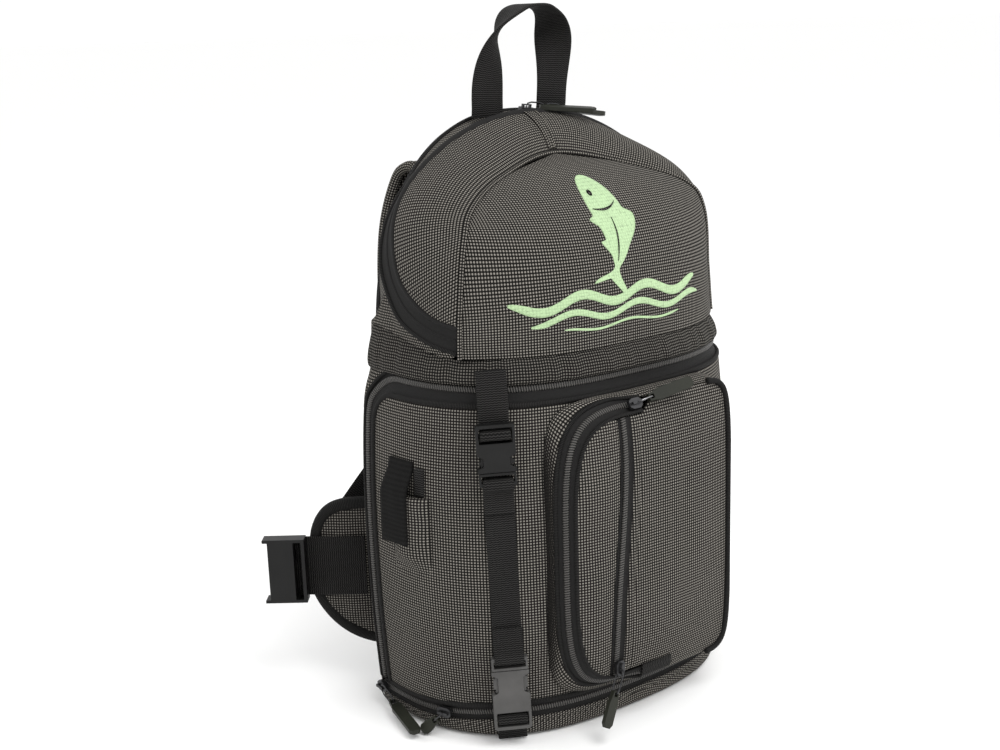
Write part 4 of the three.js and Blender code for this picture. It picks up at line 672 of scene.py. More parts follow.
# Weave outside the rounded corners of the long zip.
for word, side in (("left", -1), ("right", 1)):
    arc = cornerArc(corner["outS"], corner["outZ"])
    v = np.linspace(0, 1, 6)
    flat = mix(arc[:, None], np.array([corner["s"] + corner["outS"], corner["z"] + corner["outZ"]]), v[:, None])
    flat = flat * np.array([side, 1])
    patch = onWall(flat, -0.2 + 0.9 * np.sin(math.pi * np.minimum(1, v * 2)))
    makeCloth(f"corner_cloth_{word}", patch, flat / 1000, 1.6, cloth, inward(patch))
print("zips of the body: made")

# ---- front flap
flap = {"rows": 110, "columns": 300, "edgeDip": 1.3, "fold": 1.0, "belly": 2.2}


# The flap's half width follows the corner's circle near its top; it dips into the seam at its edges and
# carries soft folds.
def flapGrid():
    u, v = grid(flap["columns"], flap["rows"])
    low = level["flapBottom"] - footDrop(mix(-1, 1, u) * flapEnd)
    z = mix(low, level["flapTop"], v)
    r = corner["radius"]
    rise = np.clip(z - corner["z"], 0, r)
    reach = flapEnd * halfRun - (r - np.sqrt(r * r - rise * rise))
    s = mix(-1, 1, u) * reach
    edge = np.minimum(np.minimum(reach - np.abs(s), z - low), level["flapTop"] - z)
    lift = sewn(edge, flap["fold"] * folds(s, z, 95, 7, 1.2), 25, flap["edgeDip"], 2.4)
    lift = lift + flap["belly"] * smooth(0, 60, edge) * bell(z - 110, 90)
    return wall(s / halfRun, z, lift), points(s, z) / 1000


flapSurface, flapCut = flapGrid()
makeCloth("flap_cloth", flapSurface, flapCut, 2.4, cloth, inward(flapSurface), "lower_flap")


# Piping that follows a flat path on the wall.
def wallPiping(name, flat, radius, lift, squeeze):
    path = onWall(flat, lift)
    rolledSeam(name, path, onWall(flat, lift + 1) - path, radius, 0, blackBinding, squeeze)


wallPiping("flap_binding", railAt(corner["radius"] - 0.4, corner["radius"] - 0.4), 2.1, -0.3, 0.75)
footAlong = np.linspace(-flapEnd, flapEnd, 220)
footPath = points(footAlong * halfRun, level["flapBottom"] + 0.4 - footDrop(footAlong))
wallPiping("flap_foot_binding", footPath, 1.8, -0.5, 0.8)
wallPiping("frame_zip_binding", railAt(corner["outS"] - 0.3, corner["outZ"] - 0.3), 1.5, -0.6, 0.8)
print("flap: made")

# ---- collar
collar = {"roll": 3.2, "rows": 30, "columns": 320, "pucker": 1.3, "overhang": 4.5, "tuck": 2.5}


def collarTop(along):
    return mix(level["collarFront"], level["collarRear"], smooth(0.62, 1, np.abs(along)))


# A soft roll above the middle zip: its height off the wall is r * sin(pi v^0.62), with small upright puckers
# that fade towards its top.
def collarGrid():
    u, v = grid(collar["columns"], collar["rows"])
    along = mix(-wallEnd, wallEnd, u)
    atFront = 1 - smooth(0.5, 0.62, np.abs(along))
    z = mix(level["zipTop"] - collar["overhang"], collarTop(along) + collar["tuck"] * atFront, v)
    s = along * halfRun
    puckers = folds(s, z * 0.4, 15, 8, 0.5) + 0.6 * folds(s, z, 42, 5, 0.6)
    lift = collar["pucker"] * puckers * (0.3 + 0.7 * np.sin(math.pi * v ** 0.7))
    lift = lift + collar["roll"] * np.sin(math.pi * v ** 0.62)
    lift = lift + 1.3 * (1 - v) - collar["tuck"] * atFront * smooth(0.78, 1, v)
    return wall(along, z, lift - 0.2), points(s / 1000, runAlong(wall(along, z, lift), 1))


collarSurface, collarCut = collarGrid()
makeCloth("collar_cloth", collarSurface, collarCut, bag["cloth"], collarShadedCloth, inward(collarSurface), "collar")
print("collar: made")

# ---- lid
# Columns: share of the way from the front corner to the crown, out, fore and up as shares of the bag.
panelEdgeRows = [(0, 0.829, 0.643, 0.6375), (0.25, 0.813, 0.625, 0.714), (0.5, 0.78, 0.603, 0.818),
                 (0.7, 0.684, 0.53, 0.866),
                 (0.85, 0.408, 0.368, 0.9), (1, 0, 0.25, 0.926)]
panelMiddleRows = [(0, 0, 0.953, 0.6375), (0.25, 0, 0.944, 0.725), (0.5, 0, 0.86, 0.807), (0.7, 0, 0.69, 0.865),
                   (0.85, 0, 0.485, 0.902), (1, 0, 0.25, 0.926)]
zipFrontRows = [(0, 0.829, 0.625, 0.6865), (0.12, 0.882, 0.493, 0.698), (0.24, 0.921, 0.375, 0.721),
                (0.34, 0.938, 0.265, 0.753),
                (0.45, 0.931, 0.191, 0.797), (0.56, 0.895, 0.132, 0.842), (0.66, 0.809, 0.088, 0.885),
                (0.77, 0.658, 0.051, 0.926),
                (0.87, 0.467, 0.022, 0.961), (0.94, 0.25, 0.007, 0.984), (1, 0, 0, 0.992)]
zipRearRows = [(0, 0.832, 0.622, 0.645), (0.12, 0.901, 0.456, 0.66), (0.24, 0.938, 0.265, 0.688),
               (0.34, 0.944, 0.14, 0.732),
               (0.45, 0.928, 0.051, 0.779), (0.56, 0.868, -0.007, 0.831), (0.66, 0.77, -0.044, 0.874),
               (0.77, 0.632, -0.066, 0.913),
               (0.87, 0.447, -0.081, 0.95), (0.94, 0.243, -0.092, 0.973), (1, 0, -0.096, 0.987)]
gussetBulge = [(0, 0.5), (0.3, 5), (0.66, 9), (1, 5)]
backArch = {"springs": 288, "crown": 457.5, "power": 2.4}


def bothSides(rows):
    left = [(at - 1, -out, fore, up) for at, out, fore, up in rows]
    return left + [(1 - at, out, fore, up) for at, out, fore, up in rows[:-1][::-1]]


def lidPoint(rows, at):
    out, fore, up = (follow(rows, at, k) for k in (1, 2, 3))
    return points(out * bag["halfWidth"], bag["rearLine"] - fore * bag["frontDepth"], up * bag["height"])


panelEdge, zipFront, zipRear = bothSides(panelEdgeRows), bothSides(zipFrontRows), bothSides(zipRearRows)
lidPanel = {"steps": 170, "foot": 0.004, "reach": 260}

# Front panel: x goes straight across, y and z go from the middle curve to the edge curve as powers of the
# share across.
u, v = grid(lidPanel["steps"], lidPanel["steps"])
across, up = mix(-1, 1, u), mix(lidPanel["foot"], 1, v)
edge, middle = lidPoint(panelEdgeRows, up), lidPoint(panelMiddleRows, up)
reach = np.abs(across)
panelY = mix(middle[..., 1], edge[..., 1], reach ** mix(3.2, 2.4, up))
plainPanel = points(across * edge[..., 0], panelY, mix(middle[..., 2], edge[..., 2], reach ** 2))
gap = np.minimum((1 - reach) * np.abs(edge[..., 0]), (1 - up) * lidPanel["reach"])
panelFolds = 0.9 * folds(plainPanel[..., 0], plainPanel[..., 2], 90, 7, 1.4)
panelSurface = raised(plainPanel, sewn(gap, panelFolds, 30, 0.9, 2.2))
panelRun = runAlong(plainPanel, 0)
panelCut = points(panelRun - (panelRun[84:85] + panelRun[85:86]) / 2, runAlong(plainPanel[85:86], 1))
makeCloth("lid_front_cloth", panelSurface, panelCut, bag["cloth"], cloth, inward(panelSurface), "lid_panel")

gussetStart = 0.145


# Gusset: straight from the panel's edge to the front rail of the lid's zip, raised by 4 b s (1 - s).
def gussetPoint(at, across):
    rise = 1 - np.abs(at)
    side = np.where(at < 0, -1.0, 1.0)
    front = lidPoint(panelEdge, side * (1 - mix(gussetStart, 1, rise ** 0.9)))
    rear = lidPoint(zipFront, at)
    rear[..., 2] += 4 * seam * (1 - smooth(0, 0.1, rise))
    toRear = rear - front
    width = np.linalg.norm(toRear, axis=-1)
    normal = unit(np.cross(lidPoint(zipFront, at + 0.01) - lidPoint(zipFront, at - 0.01), toRear))
    normal = normal * np.where(np.sum(normal * inward(front), -1) > 0, -1, 1)[..., None]
    share = mix(2 * seam / width, 1 - 3 * seam / width, across)
    lift = follow(gussetBulge, rise, 1) * 4 * share * (1 - share)
    return front + toRear * share[..., None] + normal * lift[..., None], normal, share * width, (1 - share) * width


u, v = grid(300, 46)
plainGusset, gussetOut, fromFront, fromRear = gussetPoint(mix(-0.995, 0.995, u), v)
gussetRun = runTo(plainGusset[:, 23])[:, None]
gap = np.minimum(fromFront, fromRear)
gussetSurface = raised(plainGusset, sewn(gap, 0.8 * folds(gussetRun, fromFront, 80, 6, 1.2), 18, 0.9, 2.0), gussetOut)
makeCloth("lid_gusset_cloth", gussetSurface, points(fromFront, gussetRun) / 1000, bag["cloth"], cloth,
          -gussetOut, "lid_gusset")

lidAt = np.linspace(-1, 1, 320)
lidFrontRail, lidRearRail = lidPoint(zipFront, lidAt), lidPoint(zipRear, lidAt)
lidGap = (seam / np.linalg.norm(lidFrontRail - lidRearRail, axis=-1))[:, None]
lidRailA, lidRailB = mix(lidRearRail, lidFrontRail, lidGap), mix(lidRearRail, lidFrontRail, 1 - lidGap)
lidZipOut = -inward(mix(lidRailA, lidRailB, 0.5))
# its coil is on the inside, so only the ridge where its tapes meet shows
makeZip("lid_zip", lidRailA, lidRailB, lidZipOut, "lid_zip", 1.0, coilShare=0.4, teeth=blackTape)
panelSeamPath = lidPoint(panelEdge, np.linspace(-1, 1, 260))
rolledSeam("lid_front_seam", panelSeamPath, -inward(panelSeamPath), 1.9, 0.3, cloth)
# The tape folds over the lid's rear edge near the crown, so the front binding thickens there.
lidBind = mix(1.6, 3.5, smooth(0.4, 0.8, 1 - np.abs(lidAt)))[:, None]
bindSide = unit(np.cross(runOf(lidRailB), lidZipOut))
carry("lid_zip_front_binding", lidRailB - lidZipOut * lidBind * 0.45, bindSide, lidZipOut,
      roundProfile(1, 12) * lidBind[..., None], (blackTape[0], "binding"))
rolledSeam("lid_zip_rear_binding", lidRailA, lidZipOut, 1.6, 0.6, blackBinding, 0.8)

# Double seam over the top of the lid.
topSeam = {"half": 0.0085, "from": 0.05, "to": 0.96}
for word, at in (("left", -topSeam["half"]), ("right", topSeam["half"])):
    path, out, _, _ = gussetPoint(np.full(60, at), np.linspace(topSeam["from"], topSeam["to"], 60))
    rolledSeam(f"crown_seam_{word}", path, out, 1.5, -0.3, cloth)
u, v = grid(40, 7)
strip, stripOut, _, _ = gussetPoint(mix(-0.7, 0.7, v) * topSeam["half"], mix(topSeam["from"], topSeam["to"], u))
strip = strip + stripOut * 0.9
makeCloth("crown_seam_strip", strip, ownCut(strip), 0.7, cloth, -stripOut, "lid_top_seam")
print("lid: made")

# ---- side gores and rear gusset
gore = {"split": 0.62, "peak": 0.34, "front": alongAt(bag["halfWidth"] * 0.832, level["collarFront"] + seam)}
edgeGap = seam / halfRun


# Gore: straight up from the collar to the rear rail of the lid's zip, and behind its peak to the heel.
def goreGrid(side):
    u, v = grid(90, 24)
    foot = mix(gore["front"] + 2 * edgeGap, wallEnd, u)
    bottom = wall(foot, collarTop(foot) + seam)
    top = lidPoint(zipRearRows, mix(0.004, gore["peak"], np.minimum(1, u / gore["split"])))
    heel = wall(wallEnd, level["collarRear"] + 1.5)
    top = mix(top, heel, np.clip((u - gore["split"]) / (1 - gore["split"]), 0, 1)[..., None])
    top[..., 2] -= 2 * seam
    surface = mix(bottom, top, v[..., None])
    gap = np.minimum(v, 1 - v) * np.linalg.norm(top - bottom, axis=-1)
    surface = raised(surface, 0.9 * folds(surface[..., 1], surface[..., 2], 32, 5, 1.0) * smooth(0, 10, gap))
    return surface * np.array([side, 1, 1])


for word, side in (("left", -1), ("right", 1)):
    surface = goreGrid(side)
    makeCloth(f"side_gore_cloth_{word}", surface, surface[..., 1:] / 1000, bag["cloth"], cloth, inward(surface),
              f"side_gore_{word}")


def backEdge(share):
    angle = share * math.pi / 2
    power = 2 / backArch["power"]
    rise = (backArch["crown"] - backArch["springs"]) * np.sin(angle) ** power
    return points(bag["backHalfWidth"] * np.abs(np.cos(angle)) ** power, backFace, backArch["springs"] + rise)


rearGusset = {"bow": 0.8, "across": 18, "legSteps": 60, "archSteps": 110}


# Rear gusset of one side: the leg lies on the wall behind the zip; over the lid it is ruled from the zip's
# rear rail to the back's arch and bowed by 4 b s (1 - s).
def gussetHalf(side):
    legZ = np.linspace(level["trayTop"] - level["footDrop"] + 2 * seam, level["collarRear"] + 1, rearGusset["legSteps"])
    share = np.linspace(0, 1, rearGusset["across"])
    leg = wall(mix(wallEnd + 2 * edgeGap, pastRear(backFace), share), legZ[:, None])
    fine = np.linspace(0, 1, 200)
    zipSide = evenly(lidPoint(zipRearRows, mix(gore["peak"], 1, fine)), rearGusset["archSteps"])
    backSide = evenly(backEdge(mix(0.07, 1, fine)), rearGusset["archSteps"])
    steps = np.array([[0.25], [0.5], [0.75]])
    front = np.concatenate([mix(leg[-1, 0], zipSide[0], steps), zipSide])
    back = np.concatenate([mix(leg[-1, -1], backSide[0], steps), backSide])
    front = front + unit(back - front) * 2 * seam
    arch = mix(front[:, None], back[:, None], share[:, None])
    lift = rearGusset["bow"] * smooth(level["lidStart"], level["lidStart"] + 40, arch[..., 2]) * 4 * share * (1 - share)
    return np.concatenate([leg, raised(arch, lift)]) * np.array([side, 1, 1])


surface = np.concatenate([gussetHalf(-1), gussetHalf(1)[::-1][1:]])
gap = np.minimum(runAlong(surface, 1), runAlong(surface[:, ::-1], 1)[:, ::-1]) * 1000
length = runAlong(surface, 0)
surface = raised(surface, sewn(gap, 0.7 * folds(length * 1000, gap, 60, 5, 0.9), 8, 0.7, 1.8))
rearCut = points(runAlong(surface, 1), length[:, 9:10])
makeCloth("rear_gusset_cloth", surface, rearCut, bag["cloth"], cloth, inward(surface), "rear_gusset")

backLeg = wall(pastRear(backFace), np.linspace(12, 284, 40))
backLoop = np.concatenate([backLeg * mirror, backEdge(np.linspace(0.02, 1, 90)) * mirror,
                           backEdge(np.linspace(1, 0.02, 90))[1:],
                           backLeg[::-1]])
backOut = unit(-inward(backLoop) * np.array([1, 0.4, 1]) + np.array([0, 0.5, 0]))
rolledSeam("back_piping", evenly(backLoop, 400), evenly(backOut, 400), 2.2, 0.2, blackBinding)
print("gores and rear gusset: made")

# ---- front pocket
pocket = {"middle": -2.5, "halfWidth": 84.5, "bottom": 30.5, "top": 262, "inset": 4, "fore": 104, "belly": 9,
          "bellyMiddle": 12,
          "bellyHalfWidth": 92, "zipFore": 93.5, "zipEnd": -8, "zipWidth": 9, "baseCorner": 6, "zipCorner": 4.2,
          "plainCorner": 12,
          "frontZipX": -33, "swing": 5, "frontZipWidth": 12, "cloth": 2.0}
pocketMid = (pocket["top"] + pocket["bottom"]) / 2
pocketHalf = (pocket["top"] - pocket["bottom"]) / 2


# Front of the pocket: it swells by b (1 - |x|^2.6)(1 - |z|^4) in the middle.
def pocketFore(x, z):
    across = np.abs((x - pocket["bellyMiddle"]) / pocket["bellyHalfWidth"])
    up = np.abs((z - pocketMid) / pocketHalf)
    return pocket["fore"] + pocket["belly"] * np.maximum(0, 1 - across ** 2.6) * np.maximum(0, 1 - up ** 4)


def pocketFace(x, z):
    return points(x, -pocketFore(x, z), z)


def pocketInward(p):
    x = signed((p[..., 0] - pocket["middle"]) / pocket["halfWidth"], 5) / pocket["halfWidth"]
    z = signed((p[..., 2] - pocketMid) / pocketHalf, 5) / pocketHalf
    deep = np.clip((-p[..., 1] - 78) / 32, 0, 1)
    return unit(points(-x, deep ** 3 * 0.022, -z))


def pocketCloth(name, surface, lift, cut, stands, look=cloth):
    surface = raised(surface, lift, -pocketInward(surface))
    makeCloth(name, surface, cut, pocket["cloth"], look, pocketInward(surface), stands)


# Loops round the pocket: |x/a|^p + |z/b|^p = 1 with one power on the left half and another on the right.
def pocketLoop(turn, inset, leftPower, rightPower):
    angle = turn * 2 * math.pi
    left = np.cos(angle) < 0
    power = np.where(left, leftPower, rightPower)
    start = np.where(left, pocket["zipEnd"], pocket["middle"])
    side = np.where(left, -1.0, 1.0)
    reach = np.abs(pocket["middle"] + side * pocket["halfWidth"] - start) - inset
    x = start + side * reach * np.abs(np.cos(angle)) ** (2 / power)
    return x, pocketMid + (pocketHalf - inset) * signed(np.sin(angle), 2 / power)


def footLoop(turn):
    return pocketLoop(turn, 0, pocket["baseCorner"], pocket["baseCorner"] + 3)


# Turns spaced evenly by the length of the pocket's foot.
def evenTurns(low, high, count):
    turn = np.linspace(low, high, 4001)
    run = runTo(points(*footLoop(turn)))
    return np.interp(np.linspace(0, run[-1], count), run, turn)


def pocketRim(turn):
    x, z = pocketLoop(turn, pocket["inset"], pocket["zipCorner"], pocket["plainCorner"])
    share = smooth(pocket["zipEnd"] - 24, pocket["zipEnd"] + 6, x)
    return points(x, -mix(pocket["zipFore"], pocketFore(x, z), share), z)


def pocketFoot(turn):
    x, z = footLoop(turn)
    across = np.abs(x) / halfWidthAt(z)
    wallFore = bag["rearLine"] - depthAt(z) * (1 - across ** bag["cornerPower"]) ** (1 / bag["cornerPower"])
    return points(x, wallFore - 0.8 - 0.7 * smooth(20, 85, np.abs(x)), z)


turns = np.concatenate([evenTurns(0.2501, 0.7499, 260), evenTurns(-0.2499, 0.2499, 220), [0.2501]])
foot, rim = pocketFoot(turns), pocketRim(turns)
share = np.linspace(0, 1, 22)
deep = np.linalg.norm(rim - foot, axis=-1)[:, None]
footRun = runTo(foot)[:, None]
gap = np.minimum(deep * share, deep - deep * share)
bulge = 1.3 * np.sin(math.pi * share) + 0.6 * folds(footRun, deep * share, 45, 5, 0.9) * smooth(0, 6, gap)
bulge[-1] = bulge[0]
pocketCloth("pocket_side_cloth", mix(foot[:, None], rim[:, None], share[:, None]), bulge - 0.7 * bell(gap, 1.6),
            points(footRun, deep * share) / 1000, "pocket_gusset", pocketSideShadedCloth)


def curvedEdge(turn):
    inset = pocket["inset"] + pocket["zipWidth"]
    return pocketFace(*pocketLoop(turn, inset, pocket["zipCorner"], pocket["plainCorner"]))


leftTurns = evenTurns(0.2501, 0.7499, 240)
zipRim, zipEdge = pocketRim(leftTurns), curvedEdge(leftTurns)
zipOut = -pocketInward(mix(zipRim, zipEdge, 0.5))
makeZip("pocket_curved_zip", zipRim, zipEdge, zipOut, "pocket_curved_zip", 0.9, coilShare=0.9)
rolledSeam("pocket_zip_outer_binding", zipRim, zipOut, 1.7, 0.3, blackBinding, 0.85)
rolledSeam("pocket_zip_inner_binding", zipEdge, zipOut, 1.5, 0.5, blackBinding, 0.85)

edgeOfZip = pocket["inset"] + pocket["zipWidth"]
frontZipTop, frontZipBottom = pocket["top"] - edgeOfZip - 2.6, pocket["bottom"] + edgeOfZip + 2.6


def frontZipX(z):
    share = (z - frontZipBottom) / (frontZipTop - frontZipBottom)
    return pocket["frontZipX"] + pocket["swing"] * np.sin((share - 0.5) * math.pi * 1.15)


zipZ = np.linspace(frontZipBottom, frontZipTop, 120)
halfZip = pocket["frontZipWidth"] / 2
frontZipLeft, frontZipRight = (pocketFace(frontZipX(zipZ) + side * (halfZip - seam), zipZ) for side in (-1, 1))
frontZipOut = -pocketInward(mix(frontZipLeft, frontZipRight, 0.5))
makeZip("pocket_front_zip", frontZipLeft, frontZipRight, frontZipOut, "pocket_front_zip", 1.0, 0.42, 0.9)

# Corner panel between the curved zip and the straight one.
cornerTurns = evenTurns(0.2501, 0.7499, 600)
cornerTurns = cornerTurns[curvedEdge(cornerTurns)[:, 0] < pocket["frontZipX"] - halfZip - 1]
cornerTurns = np.interp(np.linspace(0, 1, 150), np.linspace(0, 1, len(cornerTurns)), cornerTurns)
edge = curvedEdge(cornerTurns)
rowZ = pocketMid + (edge[:, 2] - pocketMid) * (frontZipTop - pocketMid) / (pocketHalf - edgeOfZip)
towards = pocketFace(frontZipX(rowZ) - halfZip, rowZ)
v = np.linspace(0, 1, 40)
flatPanel = mix(edge[:, None], towards[:, None], mix(0.002, 1, v)[:, None])
gap = np.minimum(v, 1 - v) * np.linalg.norm(towards - edge, axis=-1)[:, None]
panel = pocketFace(flatPanel[..., 0], flatPanel[..., 2])
lift = 1.2 * smooth(0, 14, gap) + sewn(gap, 0.9 * folds(panel[..., 2], panel[..., 0], 70, 5, 0.8), 10, 0.8, 2.0)
pocketCloth("pocket_corner_cloth", panel, lift, flatPanel[..., [0, 2]] / 1000, "pocket_corner_panel")

# Front panel of the pocket.
frontGap = pocket["inset"] + 3 * seam
reach = pocket["halfWidth"] - frontGap
stitchRow = 7.0
u, v = grid(150, 190)
columnX = mix(pocket["frontZipX"] + halfZip, pocket["middle"] + reach * 0.9995, 1 - (1 - u) ** 1.35)
share = np.clip(np.abs(columnX - pocket["middle"]) / reach, 0, 1)
loop = (pocketHalf - frontGap) * (1 - share ** pocket["plainCorner"]) ** (1 / pocket["plainCorner"])
frontHalf = mix(frontZipTop - pocketMid, loop, smooth(pocket["zipEnd"] - 5, pocket["zipEnd"] + 12, columnX))
z = pocketMid + mix(-1, 1, v) * frontHalf
x = columnX + (1 - smooth(0, 24, columnX - pocket["frontZipX"] - halfZip)) * (frontZipX(z) - pocket["frontZipX"])
offZip = x - frontZipX(z) - halfZip
gap = np.minimum(np.minimum(offZip, pocket["middle"] + reach - x), frontHalf - np.abs(z - pocketMid))
lift = 1.6 * smooth(0, 40, gap) + sewn(gap, 1.1 * folds(x, z, 95, 7, 1.4), 30, 0.9, 2.0)
lift = lift - 0.55 * bell(offZip - stitchRow, 1.0)
pocketCloth("pocket_front_cloth", pocketFace(x, z), lift, points(x, z) / 1000, "pocket_front")

# Piping down the right edge and along the bottom.
angle = mix(0.235, -0.235, np.linspace(0, 1, 260)) * 2 * math.pi
path = pocketRim(np.arctan2(signed(np.sin(angle), 0.7), signed(np.cos(angle), 0.7)) / (2 * math.pi))
rolledSeam("pocket_edge_piping", path, -pocketInward(path), 2.3, -0.2, blackBinding, stands="pocket_piping")

# Tab at the lower end of the curved zip.
u, v = grid(24, 10)
panel = pocketFace(mix(pocket["zipEnd"] - 6, pocket["zipEnd"] + 24, u),
                   mix(pocket["bottom"] + 7, pocket["bottom"] + 17, v))
panel = raised(panel, 2.6 - 0.8 * bell(np.minimum(v, 1 - v) * 10, 1.2), -pocketInward(panel))
makeCloth("pocket_end_tab", panel, ownCut(panel), 1.7, (blackWeb[0], "binding"), pocketInward(panel), "pocket_zip_tab")
print("pocket: made")

# ---- straps
web = {"width": 22, "thickness": 1.7}
across = np.array([-0.84619, 0.53215, -0.02798])
along = np.array([0.02369, -0.0149, -0.99961])
strapFrames = {"upper": (across, along, (-117.84563, -70.05069, 253)),
               "lower": (-across, -along, (-111.34095, -72.19694, 15.5))}
strapOut = np.array([-0.53235, -0.84652, 0])
barRise = [(2.6, -1.4), (3.9, -0.5), (5.35, 5.5), (6.65, 7.9), (9.85, 7.9), (11.15, 5.5), (12.6, -0.5), (13.9, -1.4),
           (28.5, -1.4)]
# Pairs of length along the strap's frame and height off its base, as the solids have them.
strapPaths = {
    "strap_anchor": ("upper", [(-38.01, -1.4), (-26.61, -1.4), (-15.21, -1.4), (-5.7, -1.4), *barRise]),
    "strap_tail": ("lower", [(-14.01, -7.7), (-8.4, -6.62), (-3.5, -5.69), *barRise]),
    "strap_middle": ("upper", [(68.3, 1.79), (58.7, 1.48), (50.7, 3.2), (47.5, 7.2), (44.9, 7.8), (43.7, 7.8),
                               (42.1, 7.5), (41.3, 5.2),
                               (41.3, 0.6), (42.1, -1.1), (43.7, -1.4), (48.3, -1.4), (58.7, -0.72),
                               (68.3, -0.41), (90.55, -0.06),
                               (112.8, -0.11), (135.04, -0.46), (157.29, -1.07), (166.89, -1.42),
                               (177.29, -3.05), (181.89, -3.05),
                               (183.49, -2.75), (184.29, -1.05), (184.29, 3.55), (183.49, 5.85),
                               (181.89, 6.15), (180.69, 6.15),
                               (178.09, 5.55), (174.89, 1.55), (166.89, 0.78), (157.29, 1.13)]),
}
for node, (where, pairs) in strapPaths.items():
    flat = throughPoints(pairs, 160 if node == "strap_middle" else 90)
    side, along, origin = strapFrames[where]
    centre = np.array(origin) + flat[:, :1] * along + flat[:, 1:] * strapOut
    side = np.broadcast_to(side, centre.shape)
    carry(node + "_webbing", centre, side, unit(np.cross(runOf(centre), side)), bandProfile(*web.values()), blackWeb,
          node, lean=False)
print("strap: made")


# ---- moulded parts: a welded copy of a node, with its flat faces joined and its edges rounded
def roundedCopy(node, name, look, width, segments=2, angle=30):
    mesh = frame["nodes"][node].data.copy()

    def joinFlats(form):
        bmesh.ops.remove_doubles(form, verts=form.verts, dist=2e-5)
        bmesh.ops.dissolve_limit(form, angle_limit=math.radians(1.5), verts=form.verts, edges=form.edges)

    edited(mesh, joinFlats)
    mesh.materials.clear()
    mesh.materials.append(look[0])
    piece = addObject(name, mesh)
    soft = piece.modifiers.new("edges", "BEVEL")
    soft.width, soft.segments = width / 1000, segments
    soft.limit_method, soft.angle_limit = "ANGLE", math.radians(angle)
    soft.harden_normals = False
    piece.modifiers.new("shading", "WEIGHTED_NORMAL").keep_sharp = False
    return dress(piece, node)


for where, look in (("upper", blackPlastic), ("lower", greyPlastic)):
    roundedCopy(f"{where}_buckle_socket", f"{where}_socket_shell", look, 0.7)
    roundedCopy(f"{where}_buckle_plug", f"{where}_plug_prongs", look, 0.5)
for word in ("left", "right"):
    roundedCopy(f"hip_buckle_{word}", f"hip_buckle_shell_{word}", blackPlastic, 0.7)
for which in ("lid_left", "lid_right", "pocket_top", "pocket_foot", "lower_rear", "lower_front"):
    slider = roundedCopy(f"{which}_slider", f"{which}_slider_metal", sliderMetal, 0.3, 2, 40)
    pull = roundedCopy(f"{which}_pull", f"{which}_pull_rubber", pullRubber, 0.8, 3)
    if which == "pocket_top":
        # the far half of this slider is its bare link
        slider.data.materials.append(bareMetal)
        middles = [np.mean([v.co for v in part.data.vertices], axis=0) for part in (pull, slider)]
        towards = middles[0] - middles[1]
        reach = np.array([p.center for p in slider.data.polygons]) @ unit(towards)
        far = reach > mix(reach.min(), reach.max(), 0.58)
        slider.data.polygons.foreach_set("material_index", far.astype(np.int32))
print("buckles and pulls: made")

# ---- tool holder: edges are lengths round the wall from its middle line
tool = {"at": -0.66788, "bottom": 132, "flapFoot": 155, "mouth": 192, "top": 217, "clear": 0.7, "bow": 6.5}


def toolPatch(name, edges, low, high, lift, thickness, look, stands, fold=0.0):
    u, v = grid(60, 60)
    z, s = mix(low, high, v), mix(*edges, u)
    gap = np.minimum(np.minimum(u, 1 - u) * (edges[1] - edges[0]), np.minimum(v, 1 - v) * (high - low))
    rise = tool["clear"] + lift(u, z) + thickness + sewn(gap, fold * folds(s, z, 20, 4, 1.5), 5, 0.5, 1.0)
    at = tool["at"] + s / halfRun
    makeCloth(name, wall(at, z, rise), points(s, z) / 1000, thickness, look, unit(wall(at, z) - wall(at, z, 1)), stands)


toolPatch("tool_pocket_cloth", (-44, -8), tool["bottom"], tool["mouth"],
          lambda u, z: tool["bow"] * 4 * u * (1 - u) * smooth(tool["bottom"], tool["bottom"] + 15, z),
          1.6, cloth, "tool_pocket", 0.7)
toolPatch("tool_flap_tape", (-47, -23), tool["flapFoot"], tool["top"],
          lambda u, z: (tool["bow"] + 2) * (1 - smooth(tool["mouth"] + 1, tool["top"] - 2, z)),
          2.2, hookTape, "tool_flap", 0.5)
toolPatch("tool_loop_webbing", (-20.5, -12.5), tool["mouth"] + 0.6, tool["top"] - 4,
          lambda u, z: 0 * u, 3.0, blackWeb, "tool_loop")
print("tool holder: made")

# ---- grab handle
handle = {"legX": 32, "shift": 4, "lean": 13, "spread": 0.16, "y": 61, "rise": 539, "width": 30, "thickness": 2.4}
footShare = 1 - (handle["legX"] / bag["backHalfWidth"]) ** backArch["power"]
handleFoot = mix(backArch["springs"], backArch["crown"], footShare ** (1 / backArch["power"]))


# A loop of webbing: x = -reach * cos(a)^0.75 and z = rise * sin(a)^0.8, twisted half a turn from foot to foot.
def handlePath(t):
    angle = t * math.pi
    reach = handle["legX"] * (1 + handle["spread"] * np.sin(angle))
    x = handle["shift"] + handle["lean"] * np.sin(angle) ** 1.5 - reach * signed(np.cos(angle), 0.75)
    return points(x, handle["y"], mix(handleFoot, handle["rise"], np.sin(angle) ** 0.8))


fine = np.linspace(0, 1, 900)
run = runTo(handlePath(fine))
t = np.interp(np.linspace(0, 1, 140), run / run[-1], fine)
centre = handlePath(t)
run = unit(handlePath(np.minimum(1, t + 0.01)) - handlePath(np.maximum(0, t - 0.01)))
twist = (smooth(0.04, 0.42, t) + smooth(0.58, 0.96, t)) * 0.5 * math.pi
raw = points(np.cos(twist), np.sin(twist), 0)
side = unit(raw - run * np.sum(raw * run, -1, keepdims=True))
band = bandProfile(handle["width"], handle["thickness"])
carry("handle_webbing", centre, side, np.cross(run, side), band, blackWeb, "grab_handle")
print("handle: made")

# ---- pads
puff = {"voxel": 4, "cap": 3, "pressure": 3.0, "frames": 20}


def placesOf(mesh):
    places = np.zeros(len(mesh.vertices) * 3)
    mesh.vertices.foreach_get("co", places)
    return places.reshape(-1, 3)


